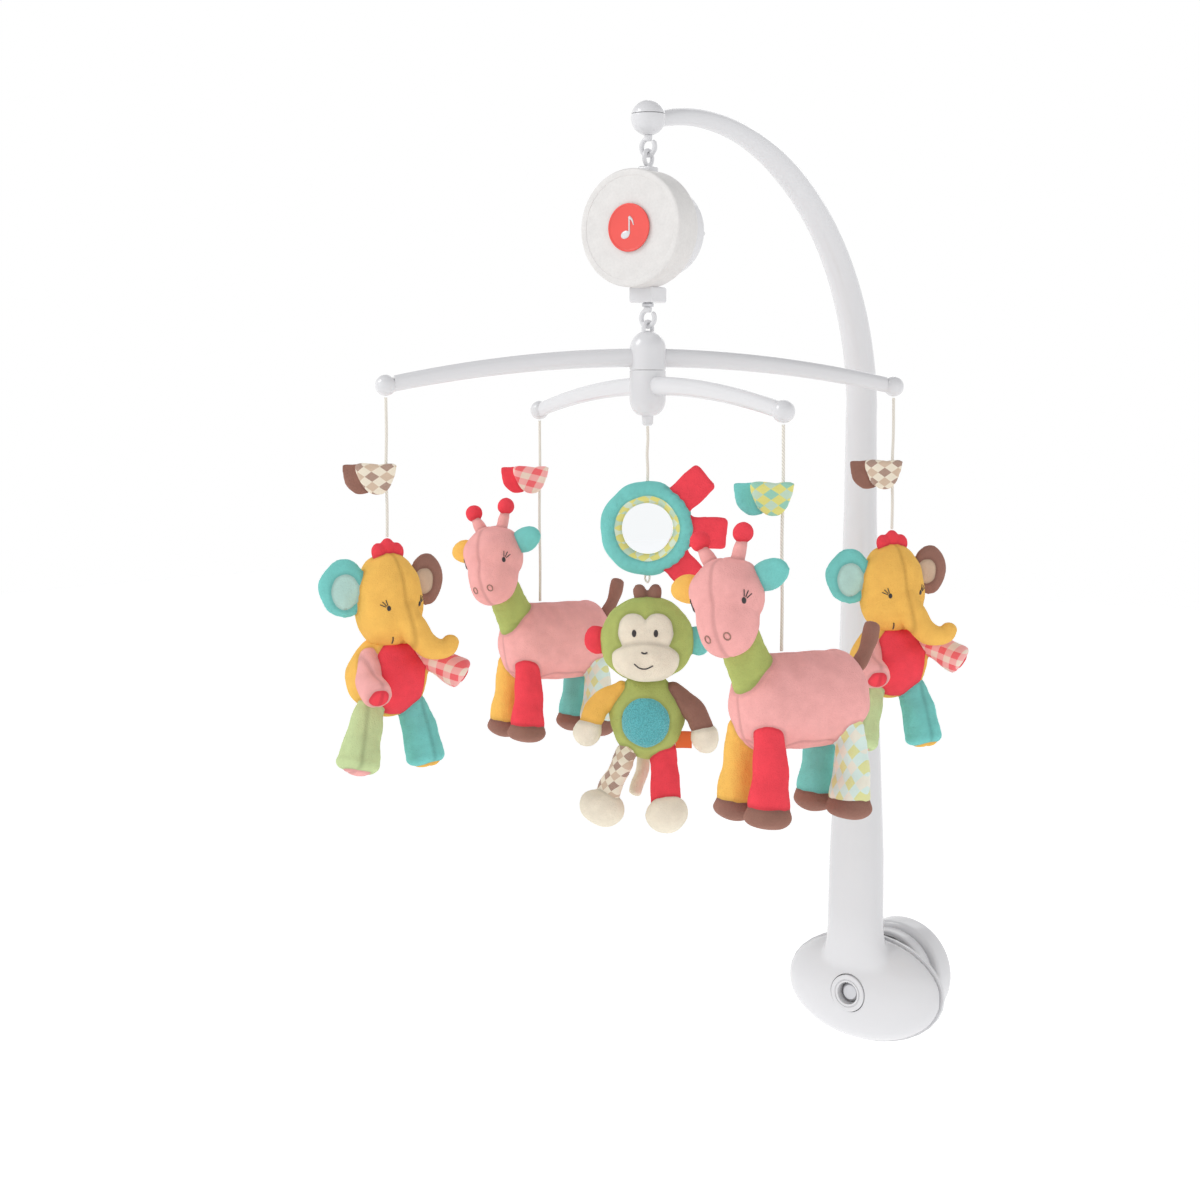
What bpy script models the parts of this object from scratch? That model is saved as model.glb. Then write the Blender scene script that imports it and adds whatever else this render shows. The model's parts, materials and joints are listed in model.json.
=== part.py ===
"""Crib mobile that clamps to a cot's bars: stand, wind-up music box, turning cross and soft toys.

Frame: the origin is on the rubber rail face of the clamp, RAIL_POINT_RISE above the clamp screw's axis.
+Y runs out of that face through the cot rail, +X runs along the rail, +Z is up, and the arm
reaches towards -Y over the cot. Heights below the arm's end ball are measured from its centre.
"""
from math import cos, pi, radians, sin

import bmesh
import bpy
from mathutils import Matrix, Vector

# --- Driving dimensions, in metres -----------------------------------------------------------
GAP = 0.0003                      # between pieces that touch
RAIL_POINT_RISE = 0.025
SCREW_Z = -RAIL_POINT_RISE

DOME_HALF_WIDTH = 0.065
DOME_HALF_HEIGHT = 0.041
DOME_DEPTH = 0.030
SHELL_WALL = 0.0025
PAD_THICK = 0.0020
BASE_THICK = 0.0025
COLLAR_RADIUS = 0.0135
COLLAR_BORE = 0.0080
SCREW_RADIUS = 0.0040
SCREW_HOLE = 0.0045
SCREW_END = 0.070
RAIL_GAP = 0.020
PLATE_RADIUS = 0.036
PLATE_THICK = 0.013
KNOB_RADIUS = 0.040
KNOB_THICK = 0.020

MAST_Y = -0.019
MAST_FOOT = SCREW_Z + 0.017
MAST_SPLIT = SCREW_Z + 0.240
BEND_START = SCREW_Z + 0.415
BEND_REACH = 0.205
BEND_RISE = 0.186
ARM_DROOP = 0.006
BALL_REACH = 0.260                # from the mast's axis to the hanging axis
BALL_RADIUS = 0.0105
SPIGOT_RADIUS = 0.007
SPIGOT_LENGTH = 0.018

# Height above the screw, half width along X, front and back distance from the rail face
MAST_SECTIONS = ((0.017, 0.0205, 0.0270, 0.0056), (0.040, 0.0213, 0.0340, 0.0056), (0.056, 0.0213, 0.0356, 0.0036),
                 (0.100, 0.0203, 0.0362, 0.0018), (0.210, 0.0146, 0.0348, 0.0032), (0.350, 0.0113, 0.0308, 0.0072),
                 (0.450, 0.0105, 0.0300, 0.0080))
# Distance from the mast's axis, half thickness of the arm
ARM_SECTIONS = ((0.0, 0.0103), (0.030, 0.0086), (0.070, 0.0084), (0.115, 0.0067), (0.160, 0.0060), (0.200, 0.0050),
                (0.270, 0.0045))

# Heights below the end ball's centre
HOOK_RADIUS = 0.0050              # centre line of each C-hook
HOOK_WIRE = 0.0014
EYE_RADIUS = 0.0045
EYE_WIRE = 0.0013
TOP_HOOK = -0.0172
DRUM = -0.0665
DRUM_RADIUS = 0.035
DRUM_DEPTH = 0.021
DRUM_WALL = 0.0022
REAR_RADIUS = 0.027
REAR_DEPTH = 0.022
NECK_BOTTOM = -0.110
NECK_HALF = 0.0085
SPINDLE_HOOK = -0.1192
HUB_RADIUS = 0.011
HUB_TOP = -0.1265
HUB_SEAM = -0.1505
HUB_BOTTOM = -0.178
NIB_BOTTOM = -0.184
UPPER_BAR = -0.143
UPPER_TIP = -0.160
LOWER_BAR = -0.160
LOWER_TIP = -0.175
BAR_REACH = 0.160
TIP_RADIUS = 0.00675
STRING_RADIUS = 0.0009

BOX_YAW = radians(4)
LEAF_YAW = radians(37)
CENTRE_YAW = radians(32)
GEAR_MODULE = 0.0009
BARREL_TEETH = 24
PINION_TEETH = 8

BALL = Vector((0, MAST_Y - BALL_REACH, BEND_START + BEND_RISE - ARM_DROOP))

# Cross arms: name, direction from +X, height at the hub, height at the tip, toy and toy's yaw
ARMS = (
    ("elephant_left", radians(231.3), UPPER_BAR, UPPER_TIP, "elephant", radians(72)),
    ("elephant_right", radians(51.3), UPPER_BAR, UPPER_TIP, "elephant", radians(55)),
    ("giraffe_front", radians(-27.1), LOWER_BAR, LOWER_TIP, "giraffe", radians(-23)),
    ("giraffe_back", radians(152.9), LOWER_BAR, LOWER_TIP, "giraffe", radians(-23)),
)
TOY_TOP = {"elephant": -0.250, "giraffe": -0.3055}
GIRAFFE_HORNS = -0.235
LEAF_TOP = {UPPER_TIP: -0.205, LOWER_TIP: -0.212}
SUN_RING = -0.2465
SUN_OUTER = 0.0285
MIRROR_RADIUS = 0.017
MONKEY_TOP = -0.2795

FACE_FRONT = Matrix.Rotation(pi / 2, 4, "X")    # a turned part's axis +Z becomes -Y

COLOURS = {
    "white": ((0.90, 0.90, 0.91), 0.22, 0.0),
    "white_face": ((0.88, 0.88, 0.89), 0.55, 0.0),
    "rubber": ((0.35, 0.35, 0.36), 0.80, 0.0),
    "steel": ((0.62, 0.62, 0.64), 0.32, 1.0),
    "brass": ((0.76, 0.58, 0.28), 0.35, 1.0),
    "mirror": ((0.90, 0.92, 0.93), 0.04, 1.0),
    "badge": ((0.86, 0.22, 0.19), 0.45, 0.0),
    "cord": ((0.86, 0.84, 0.78), 0.90, 0.0),
    "yellow": ((0.92, 0.63, 0.22), 0.95, 0.0),
    "pink": ((0.93, 0.52, 0.53), 0.95, 0.0),
    "coral": ((0.87, 0.16, 0.20), 0.95, 0.0),
    "green": ((0.46, 0.55, 0.16), 0.95, 0.0),
    "turquoise": ((0.24, 0.66, 0.62), 0.95, 0.0),
    "beige": ((0.66, 0.58, 0.50), 0.95, 0.0),
}


# --- Mesh helpers ----------------------------------------------------------------------------
def material(name):
    """The named finish, made once."""
    found = bpy.data.materials.get(name)
    if found:
        return found
    colour, roughness, metallic = COLOURS[name]
    made = bpy.data.materials.new(name)
    made.use_nodes = True
    shader = made.node_tree.nodes["Principled BSDF"]
    shader.inputs["Base Color"].default_value = (*colour, 1)
    shader.inputs["Roughness"].default_value = roughness
    shader.inputs["Metallic"].default_value = metallic
    return made


def piece(name, bm, finish, parent=None):
    """Turn a bmesh into a named object with its faces outward."""
    bmesh.ops.recalc_face_normals(bm, faces=bm.faces)
    mesh = bpy.data.meshes.new(name)
    bm.to_mesh(mesh)
    bm.free()
    mesh.shade_smooth()
    mesh.set_sharp_from_angle(angle=radians(40))
    mesh.materials.append(material(finish))
    obj = bpy.data.objects.new(name, mesh)
    obj.parent = parent
    bpy.context.collection.objects.link(obj)
    return obj


def fused(name, shapes, finish, parent=None, cuts=()):
    """One closed body: the shapes joined by exact Booleans, less the cuts."""
    obj = piece(name, shapes[0], finish)
    steps = [(shape, "UNION") for shape in shapes[1:]] + [(cut, "DIFFERENCE") for cut in cuts]
    for shape, operation in steps:
        tool = piece("tool", shape, finish)
        boolean = obj.modifiers.new("boolean", "BOOLEAN")
        boolean.operation = operation
        boolean.solver = "EXACT"
        boolean.object = tool
        bpy.context.view_layer.update()
        evaluated = obj.evaluated_get(bpy.context.evaluated_depsgraph_get())
        joined = bpy.data.meshes.new_from_object(evaluated)
        obj.modifiers.clear()
        obj.data = joined
        bpy.data.objects.remove(tool)
    obj.data.name = name
    obj.parent = parent
    return obj


def turned(profile, steps=20, place=Matrix()):
    """A turned solid. A profile that starts and ends on the axis closes there, any other is a ring."""
    bm = bmesh.new()
    verts = [bm.verts.new((r, 0, z)) for r, z in profile]
    edges = [bm.edges.new(pair) for pair in zip(verts, verts[1:])]
    if min(r for r, _ in profile) > 0:
        edges.append(bm.edges.new((verts[-1], verts[0])))
    bmesh.ops.spin(bm, geom=verts + edges, cent=(0, 0, 0), axis=(0, 0, 1), angle=2 * pi, steps=steps)
    bmesh.ops.remove_doubles(bm, verts=bm.verts, dist=1e-6)
    bm.transform(place)
    return bm


def disc(radius, low, high, steps=24, place=Matrix(), bore=0):
    """A plain cylinder along Z between two heights, with an optional bore."""
    if bore:
        return turned([(bore, low), (radius, low), (radius, high), (bore, high)], steps, place)
    return turned([(0, low), (radius, low), (radius, high), (0, high)], steps, place)


def block(low, high):
    """A box between two corners."""
    low, high = Vector(low), Vector(high)
    size = high - low
    bm = bmesh.new()
    bmesh.ops.create_cube(bm, size=1, matrix=Matrix.Translation((low + high) / 2) @ Matrix.Diagonal((*size, 1)))
    return bm


def egg(centre, radii, turn=Matrix(), around=10, along=7):
    """An ellipsoid."""
    bm = bmesh.new()
    place = Matrix.Translation(centre) @ turn @ Matrix.Diagonal((*radii, 1))
    bmesh.ops.create_uvsphere(bm, u_segments=around, v_segments=along, radius=1, matrix=place)
    return bm


def loft(rings):
    """A closed skin over rings with equal numbers of points."""
    bm = bmesh.new()
    loops = [[bm.verts.new(point) for point in ring] for ring in rings]
    count = len(loops[0])
    for low, high in zip(loops, loops[1:]):
        for i in range(count):
            j = (i + 1) % count
            bm.faces.new((low[i], low[j], high[j], high[i]))
    bm.faces.new(loops[0])
    bm.faces.new(loops[-1])
    return bm


def ring(centre, side, up, half_side, half_up, sides=14):
    """An ellipse's points in the plane of two unit vectors."""
    turns = [2 * pi * i / sides for i in range(sides)]
    return [centre + side * (half_side * cos(a)) + up * (half_up * sin(a)) for a in turns]


def tube(points, radii, sides=8, round_ends=True):
    """A round bar through points, with domed ends."""
    points = [Vector(p) for p in points]
    if not hasattr(radii, "__len__"):
        radii = [radii] * len(points)
    steps = [(b - a).normalized() for a, b in zip(points, points[1:])]
    ways = [steps[0]] + [(a + b).normalized() for a, b in zip(steps, steps[1:])] + [steps[-1]]
    side = ways[0].orthogonal().normalized()
    rings = []
    if round_ends:
        rings.append((points[0] - ways[0] * radii[0] * 0.8, ways[0], radii[0] * 0.55))
    rings += list(zip(points, ways, radii))
    if round_ends:
        rings.append((points[-1] + ways[-1] * radii[-1] * 0.8, ways[-1], radii[-1] * 0.55))
    made = []
    for centre, way, radius in rings:
        side = (side - way * side.dot(way)).normalized()
        made.append(ring(centre, side, way.cross(side), radius, radius, sides))
    return loft(made)


def arc_points(centre, radius, start, end, count, across):
    """Points on an arc in the vertical plane that holds the horizontal unit vector across."""
    across = Vector(across)
    turns = [start + (end - start) * i / (count - 1) for i in range(count)]
    return [Vector(centre) + across * (radius * cos(a)) + Vector((0, 0, radius * sin(a))) for a in turns]


def eye_ring(centre, sides=6):
    """A closed wire eye in the YZ plane."""
    turns = [2 * pi * i / sides for i in range(sides)]
    profile = [(EYE_RADIUS + EYE_WIRE * cos(a), EYE_WIRE * sin(a)) for a in turns]
    return turned(profile, 14, Matrix.Translation(centre) @ Matrix.Rotation(pi / 2, 4, "Y"))


def prism(outline, low, high, place=Matrix()):
    """An outline in the XY plane, extruded from low to high."""
    bm = loft([[Vector((x, y, z)) for x, y in outline] for z in (low, high)])
    bm.transform(place)
    return bm


def gear_outline(teeth):
    """Tapered teeth on a pitch circle, with running clearance at tips, roots and flanks."""
    pitch = GEAR_MODULE * teeth / 2
    points = []
    for tooth in range(teeth):
        middle = 2 * pi * tooth / teeth
        for offset, lift in ((-0.27, -1.1), (-0.13, 0.6), (0.13, 0.6), (0.27, -1.1)):
            angle = middle + offset * 2 * pi / teeth
            radius = pitch + lift * GEAR_MODULE
            points.append((radius * cos(angle), radius * sin(angle)))
    return points


def empty(name, place, yaw=0, parent=None):
    """A guide on a joint's axis that carries the pieces which move about it."""
    guide = bpy.data.objects.new(name, None)
    guide.location = place
    guide.rotation_euler = (0, 0, yaw)
    guide.parent = parent
    bpy.context.collection.objects.link(guide)
    return guide


# --- Stand -----------------------------------------------------------------------------------
def between(table, at):
    """Straight-line values between the rows of a table whose first column rises."""
    for low, high in zip(table, table[1:]):
        if at <= high[0]:
            share = (at - low[0]) / (high[0] - low[0])
            return [a + (b - a) * share for a, b in zip(low[1:], high[1:])]
    return list(table[-1][1:])


def mast_ring(z, grow=0):
    """One level section of the mast."""
    half_x, front, back = between(MAST_SECTIONS, z - SCREW_Z)
    centre = Vector((0, -(front + back) / 2, z))
    return ring(centre, Vector((1, 0, 0)), Vector((0, 1, 0)), half_x + grow, (front - back) / 2 + grow)


def arm_sections():
    """Rings from the mast's split, round the quarter bend and along the arm to the end ball."""
    rings = [mast_ring(MAST_SPLIT + GAP + (BEND_START - MAST_SPLIT - GAP) * i / 4) for i in range(5)]
    path = []
    bend_steps = 10
    for i in range(1, bend_steps + 1):
        turn = pi / 2 * i / bend_steps
        path.append((BEND_REACH * (1 - cos(turn)), BEND_RISE * sin(turn)))
    droop_steps = 3
    for i in range(1, droop_steps + 1):
        share = i / droop_steps
        path.append((BEND_REACH + (BALL_REACH - BEND_REACH) * share, BEND_RISE - ARM_DROOP * share ** 2))
    before = (0, 0)
    for i, (reach, rise) in enumerate(path):
        after = path[min(i + 1, len(path) - 1)]
        way = Vector((0, before[0] - after[0], after[1] - before[1])).normalized()
        half = between(ARM_SECTIONS, reach)[0]
        centre = Vector((0, MAST_Y - reach, BEND_START + rise))
        rings.append(ring(centre, Vector((1, 0, 0)), Vector((1, 0, 0)).cross(way), half * 1.03, -half))
        before = (reach, rise)
    return rings


def make_clamp():
    """Oval dome, base plate, rail pad, collar and screw, all on the screw's axis."""
    axis = Matrix.Translation((0, 0, SCREW_Z))
    seat = -PAD_THICK - GAP - BASE_THICK - GAP
    front = axis @ FACE_FRONT
    collar_face = DOME_DEPTH + 0.0005
    clear_back = block((-0.1, seat, -0.1), (0.1, 0.1, 0.1))
    hollow = egg((0, 0, SCREW_Z), (DOME_HALF_WIDTH - SHELL_WALL, DOME_DEPTH - SHELL_WALL,
                                   DOME_HALF_HEIGHT - SHELL_WALL), around=24, along=10)
    mast_hole = loft([mast_ring(z, GAP) for z in (MAST_FOOT - GAP, SCREW_Z + 0.030, SCREW_Z + 0.060)])
    collar_hole = disc(COLLAR_RADIUS + GAP, 0.015, 0.05, place=front)
    dome = egg((0, 0, SCREW_Z), (DOME_HALF_WIDTH, DOME_DEPTH, DOME_HALF_HEIGHT), around=24, along=10)
    fused("clamp_shell", [dome], "white", cuts=[hollow, clear_back, mast_hole, collar_hole])
    oval = Matrix.Diagonal((1, DOME_HALF_HEIGHT / DOME_HALF_WIDTH, 1, 1))
    plate = disc(DOME_HALF_WIDTH - 0.001, PAD_THICK + GAP, PAD_THICK + GAP + BASE_THICK, 32, front @ oval)
    fused("clamp_base", [plate], "white", cuts=[disc(SCREW_HOLE, -0.01, 0.01, 16, front)])
    pad = disc(DOME_HALF_WIDTH - 0.004, 0, PAD_THICK, 32, front @ oval)
    fused("rail_pad", [pad], "rubber", cuts=[disc(SCREW_HOLE, -0.01, 0.01, 16, front)])
    lip = 0.0010
    piece("clamp_collar", turned([(COLLAR_BORE, 0.020), (COLLAR_RADIUS, 0.020), (COLLAR_RADIUS, collar_face - lip),
                                  (COLLAR_RADIUS - lip, collar_face), (COLLAR_BORE, collar_face)], place=front), "white")
    head = 0.0065
    piece("clamp_screw", turned([(0, -SCREW_END), (SCREW_RADIUS, -SCREW_END), (SCREW_RADIUS, 0.021), (head, 0.021),
                                 (head, 0.0255), (head - lip, 0.0265), (0, 0.0265)], 16, front), "steel")


def make_mast():
    """Lower mast with a socket, and the curved upper mast whose spigot sits in it."""
    levels = (MAST_FOOT, SCREW_Z + 0.040, SCREW_Z + 0.070, SCREW_Z + 0.100, SCREW_Z + 0.150, SCREW_Z + 0.200, MAST_SPLIT)
    at = Matrix.Translation((0, MAST_Y, MAST_SPLIT))
    socket = disc(SPIGOT_RADIUS + GAP, -SPIGOT_LENGTH - GAP, 0.01, 16, at)
    fused("mast_lower", [loft([mast_ring(z) for z in levels])], "white", cuts=[socket])
    spigot = disc(SPIGOT_RADIUS, -SPIGOT_LENGTH, 0.01, 16, at)
    fused("mast_upper", [loft(arm_sections()), spigot], "white",
          cuts=[egg(BALL, (BALL_RADIUS + GAP,) * 3, around=16, along=10)])


def make_arm_end():
    """The end ball in two halves, and the hook that the music box hangs on."""
    seam = 0.002
    low = -BALL_RADIUS - 0.01
    high = BALL_RADIUS + 0.01
    cap = block(BALL + Vector((low, low, seam)), BALL + Vector((high, high, high)))
    cup = block(BALL + Vector((low, low, low)), BALL + Vector((high, high, seam + GAP)))
    fused("arm_ball", [egg(BALL, (BALL_RADIUS,) * 3, around=16, along=10)], "white", cuts=[cap])
    fused("arm_ball_cap", [egg(BALL, (BALL_RADIUS,) * 3, around=16, along=10)], "white", cuts=[cup])
    top = BALL + Vector((0, 0, TOP_HOOK))
    hook = tube(arc_points(top, HOOK_RADIUS, radians(40), radians(-270), 12, (1, 0, 0)), HOOK_WIRE, 6)
    stem = disc(0.0024, TOP_HOOK + HOOK_RADIUS, -BALL_RADIUS - GAP, 12, Matrix.Translation(BALL))
    fused("arm_hook", [hook, stem], "white")


def make_grip():
    """Pressure plate with its pad behind the rail, and the round knob that drives it."""
    carriage = empty("clamp_plate", (0, 0, SCREW_Z))
    back = Matrix.Rotation(-pi / 2, 4, "X")    # the turned axis +Z becomes +Y
    pad_end = RAIL_GAP + PAD_THICK
    piece("pressure_pad", disc(PLATE_RADIUS - 0.003, RAIL_GAP, pad_end, 24, back, SCREW_HOLE), "rubber", carriage)
    plate_end = pad_end + GAP + PLATE_THICK
    piece("pressure_plate", turned([(SCREW_HOLE, pad_end + GAP), (PLATE_RADIUS, pad_end + GAP),
                                    (PLATE_RADIUS, plate_end - 0.002), (PLATE_RADIUS - 0.002, plate_end),
                                    (SCREW_HOLE, plate_end)], 24, back), "white", carriage)
    knob_start = plate_end + GAP
    knob_end = knob_start + KNOB_THICK
    rounding = 0.004
    knob = [(SCREW_HOLE, knob_start), (KNOB_RADIUS - rounding, knob_start), (KNOB_RADIUS, knob_start + rounding),
            (KNOB_RADIUS, knob_end - rounding), (KNOB_RADIUS - rounding, knob_end), (SCREW_HOLE, knob_end)]
    piece("clamp_knob", turned(knob, 24, back), "white", carriage)


# --- Music box -------------------------------------------------------------------------------
def case_space(front):
    """Room that the drum and its rear cover take, with a gap, for cutting what stands against them."""
    return [disc(DRUM_RADIUS + GAP, -GAP, 0.03, 32, front), disc(REAR_RADIUS + GAP, -0.03, 0.001, 28, front)]


def make_box_case(box):
    """Front drum, rear cover, badge, top eye, neck block and cover screws."""
    front = Matrix.Translation((0, 0, DRUM)) @ FACE_FRONT
    inner = DRUM_RADIUS - DRUM_WALL
    face = DRUM_DEPTH - 0.0025
    piece("box_front_shell", turned([(0, DRUM_DEPTH), (DRUM_RADIUS - 0.002, DRUM_DEPTH), (DRUM_RADIUS, DRUM_DEPTH - 0.002),
                                     (DRUM_RADIUS, 0), (inner, 0), (inner, face), (0, face)], 28, front), "white_face", box)
    wall = 0.002
    key_hole = 0.0045
    cover = turned([(inner - GAP, wall), (inner - GAP, 0), (REAR_RADIUS, 0), (REAR_RADIUS, wall - REAR_DEPTH),
                    (REAR_RADIUS - wall, -REAR_DEPTH), (key_hole, -REAR_DEPTH), (key_hole, wall - REAR_DEPTH),
                    (REAR_RADIUS - wall, wall - REAR_DEPTH), (REAR_RADIUS - wall, wall)], 20, front)
    screw_at = (REAR_RADIUS + inner - GAP) / 2
    sides = (("left", -screw_at), ("right", screw_at))
    holes = [disc(0.0013, -0.01, 0.01, 8, front @ Matrix.Translation((x, 0, 0))) for _, x in sides]
    fused("box_rear_shell", [cover], "white", box, cuts=holes)
    for side, x in sides:
        screw = turned([(0, -0.0018), (0.0021, -0.0018), (0.0021, -GAP), (0.0010, -GAP), (0.0010, 0.006), (0, 0.006)],
                       10, front @ Matrix.Translation((x, 0, 0)))
        piece("box_screw_" + side, screw, "steel", box)
    badge_radius = 0.0145
    piece("box_badge", turned([(0, DRUM_DEPTH + GAP), (badge_radius, DRUM_DEPTH + GAP),
                               (badge_radius - 0.0005, DRUM_DEPTH + GAP + 0.001), (0, DRUM_DEPTH + GAP + 0.001)],
                              28, front), "badge", box)

    eye_low = TOP_HOOK - HOOK_RADIUS + HOOK_WIRE + EYE_WIRE + GAP - EYE_RADIUS
    eye = eye_ring((0, 0, eye_low))
    lug = block((-0.004, -0.005, DRUM + REAR_RADIUS), (0.004, 0.005, eye_low - EYE_RADIUS - 0.001))
    stem = tube([(0, 0, eye_low - EYE_RADIUS), (0, 0, DRUM + DRUM_RADIUS)], 0.0018, 8)
    fused("box_eye", [eye, stem, lug], "white", box, cuts=case_space(front))
    neck = block((-NECK_HALF, -NECK_HALF, NECK_BOTTOM), (NECK_HALF, NECK_HALF, DRUM - REAR_RADIUS))
    bore = disc(0.0030, -0.02, 0.0065, 16, Matrix.Translation((0, 0, NECK_BOTTOM)))
    fused("box_neck", [neck], "white", box, cuts=case_space(front) + [bore])


def make_movement(box):
    """The wind-up movement on its bed plate: spring barrel, pin cylinder, comb and governor."""
    front = Matrix.Translation((0, 0, DRUM)) @ FACE_FRONT
    plate_low, plate_high = 0.0162, 0.0178
    half = Vector((0.024, 0.013))
    bed = prism([(-half.x, -half.y), (half.x, -half.y), (half.x, half.y), (-half.x, half.y)], plate_low, plate_high, front)
    piece("movement_plate", bed, "brass", box)
    gear_low, gear_high = -0.006, 0.002
    centres = GEAR_MODULE * (BARREL_TEETH + PINION_TEETH) / 2
    barrel = empty("barrel_axis", (0, 0, DRUM), parent=box)
    piece("spring_barrel", prism(gear_outline(BARREL_TEETH), gear_low, gear_high, FACE_FRONT), "brass", barrel)
    # a gap faces the barrel, whose own teeth face the pinions
    half_tooth = Matrix.Rotation(pi / PINION_TEETH, 4, "Z")
    cylinder = empty("cylinder_axis", (centres, 0, DRUM), parent=box)
    pinion = prism(gear_outline(PINION_TEETH), gear_low, gear_high, FACE_FRONT @ half_tooth)
    collar = disc(0.0028, gear_high - 0.0004, 0.004, 12, FACE_FRONT)
    drum = disc(0.0060, gear_high + 0.0006, 0.015, 16, FACE_FRONT)
    fused("pin_cylinder", [pinion, collar, drum], "brass", cylinder)
    governor = empty("governor_axis", (-centres, 0, DRUM), parent=box)
    pinion = prism(gear_outline(PINION_TEETH), gear_low, gear_high, FACE_FRONT @ half_tooth)
    post = disc(0.0015, gear_high - 0.0002, 0.015, 10, FACE_FRONT)
    fan = block((-0.006, -0.013, -0.0005), (0.006, -0.005, 0.0005))
    fused("governor_fan", [pinion, post, fan], "brass", governor)
    reeds = 7
    width = 0.011
    pitch = width / reeds
    outline = []
    for reed in range(reeds):
        low = 0.0035 + reed * pitch
        outline += [(0.0210, low), (0.0210, low + pitch * 0.6), (0.0250, low + pitch * 0.6), (0.0250, low + pitch)]
    outline = outline[:-1] + [(0.0285, 0.0035 + width - pitch * 0.4), (0.0285, 0.0035)]
    comb = prism([(x, -y) for x, y in outline], DRUM - 0.0005, DRUM + 0.0005)
    piece("tone_comb", comb, "steel", box)


def make_key(box):
    """Winding key behind the box, on the drum's axis."""
    key = empty("key_axis", (0, 0, DRUM), parent=box)
    shaft = disc(0.0032, -0.034, -0.0065, 14, FACE_FRONT)
    wings = [egg((side * 0.0085, 0.0375, 0), (0.0085, 0.0018, 0.0070), around=10, along=6) for side in (-1, 1)]
    boss = disc(0.0048, -0.041, -0.0245, 14, FACE_FRONT)
    fused("winding_key", [shaft, boss] + wings, "white", key)


def make_spindle(box):
    """Output spindle with its collar, and the C-hook that carries the cross."""
    axis = empty("spindle_axis", (0, 0, 0), parent=box)
    collar_bottom = NECK_BOTTOM - 0.0024
    piece("output_spindle", turned([(0, collar_bottom), (0.0035, collar_bottom), (0.0035, NECK_BOTTOM - GAP),
                                    (0.0026, NECK_BOTTOM - GAP), (0.0026, NECK_BOTTOM + 0.006), (0, NECK_BOTTOM + 0.006)],
                                   16), "steel", axis)
    centre = (0, 0, SPINDLE_HOOK)
    hook = tube(arc_points(centre, HOOK_RADIUS, radians(40), radians(-270), 12, (1, 0, 0)), HOOK_WIRE, 6)
    piece("spindle_hook", hook, "white", axis)


# --- Cross -----------------------------------------------------------------------------------
def make_hub(cross):
    """Hub capsule in two halves with the eye it hangs by and the nib for the centre string."""
    eye_mid = SPINDLE_HOOK - HOOK_RADIUS + HOOK_WIRE + EYE_WIRE + GAP - EYE_RADIUS
    eye = eye_ring((0, 0, eye_mid))
    dome = 0.006
    upper = turned([(0, HUB_TOP), (0.0045, HUB_TOP - 0.0008), (0.0085, HUB_TOP - dome * 0.5), (HUB_RADIUS, HUB_TOP - dome * 1.6),
                    (HUB_RADIUS, HUB_SEAM + GAP / 2), (0, HUB_SEAM + GAP / 2)])
    fused("hub_upper", [upper, eye], "white", cross)
    lower = turned([(0, HUB_SEAM - GAP / 2), (HUB_RADIUS, HUB_SEAM - GAP / 2), (HUB_RADIUS, HUB_BOTTOM + dome * 1.6),
                    (0.0088, HUB_BOTTOM + dome * 0.5), (0.0048, HUB_BOTTOM + 0.0006), (0.0036, HUB_BOTTOM),
                    (0.0032, NIB_BOTTOM + 0.001), (0.0022, NIB_BOTTOM), (0, NIB_BOTTOM)])
    piece("hub_lower", lower, "white", cross)


def make_bar(cross, name, way, at_hub, at_tip):
    """One arched arm from the hub to its tip, and the ball that closes it."""
    across = Vector((-sin(way), cos(way), 0))
    out = Vector((cos(way), sin(way), 0))
    rings = []
    steps = 8
    for i in range(steps + 1):
        share = i / steps
        reach = 0.004 + (BAR_REACH - 0.004) * share
        drop = (at_tip - at_hub) * (reach / BAR_REACH) ** 2
        slope = 2 * (at_tip - at_hub) * reach / BAR_REACH ** 2
        along = (out + Vector((0, 0, slope))).normalized()
        centre = out * reach + Vector((0, 0, at_hub + drop))
        rings.append(ring(centre, across, along.cross(across), 0.0038, -(0.0056 - 0.0008 * share), 12))
    tip = out * BAR_REACH + Vector((0, 0, at_tip))
    hub_space = disc(HUB_RADIUS + GAP, -0.2, -0.1, 24)
    fused("arm_" + name, [loft(rings)], "white", cross, cuts=[hub_space, egg(tip, (TIP_RADIUS + GAP,) * 3)])
    piece("tip_" + name, egg(tip, (TIP_RADIUS,) * 3), "white", cross)
    return tip


def make_string(name, top, bottom, parent):
    """A thin cord that hangs straight under its toy's weight."""
    curve = bpy.data.curves.new(name, "CURVE")
    curve.dimensions = "3D"
    curve.bevel_depth = STRING_RADIUS
    curve.bevel_resolution = 2
    curve.use_fill_caps = True
    spline = curve.splines.new("POLY")
    count = max(3, round((top - bottom) / (6 * STRING_RADIUS)) + 1)
    spline.points.add(count - 1)
    for i, point in enumerate(spline.points):
        point.co = (0, 0, top + (bottom - top) * i / (count - 1), 1)
    curve.materials.append(material("cord"))
    obj = bpy.data.objects.new(name, curve)
    obj.parent = parent
    bpy.context.collection.objects.link(obj)


def make_leaf(name, top, finish, parent):
    """A stuffed half-moon leaf threaded on the string near one end."""
    left, right, depth = -0.024, 0.005, 0.019
    steps = 10
    middle, half = (left + right) / 2, (right - left) / 2
    outline = [(middle - half * cos(pi * i / steps), -depth * sin(pi * i / steps) ** 0.8) for i in range(steps + 1)]
    slab = prism(outline, -0.003, 0.003, Matrix.Rotation(pi / 2, 4, "X"))
    hole = disc(STRING_RADIUS + GAP, -0.05, 0.05, 8)
    place = Matrix.Translation((0, 0, top)) @ Matrix.Rotation(LEAF_YAW, 4, "Z")
    slab.transform(place)
    hole.transform(Matrix.Translation((0, 0, top)))
    fused(name, [slab], finish, parent, cuts=[hole])


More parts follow.
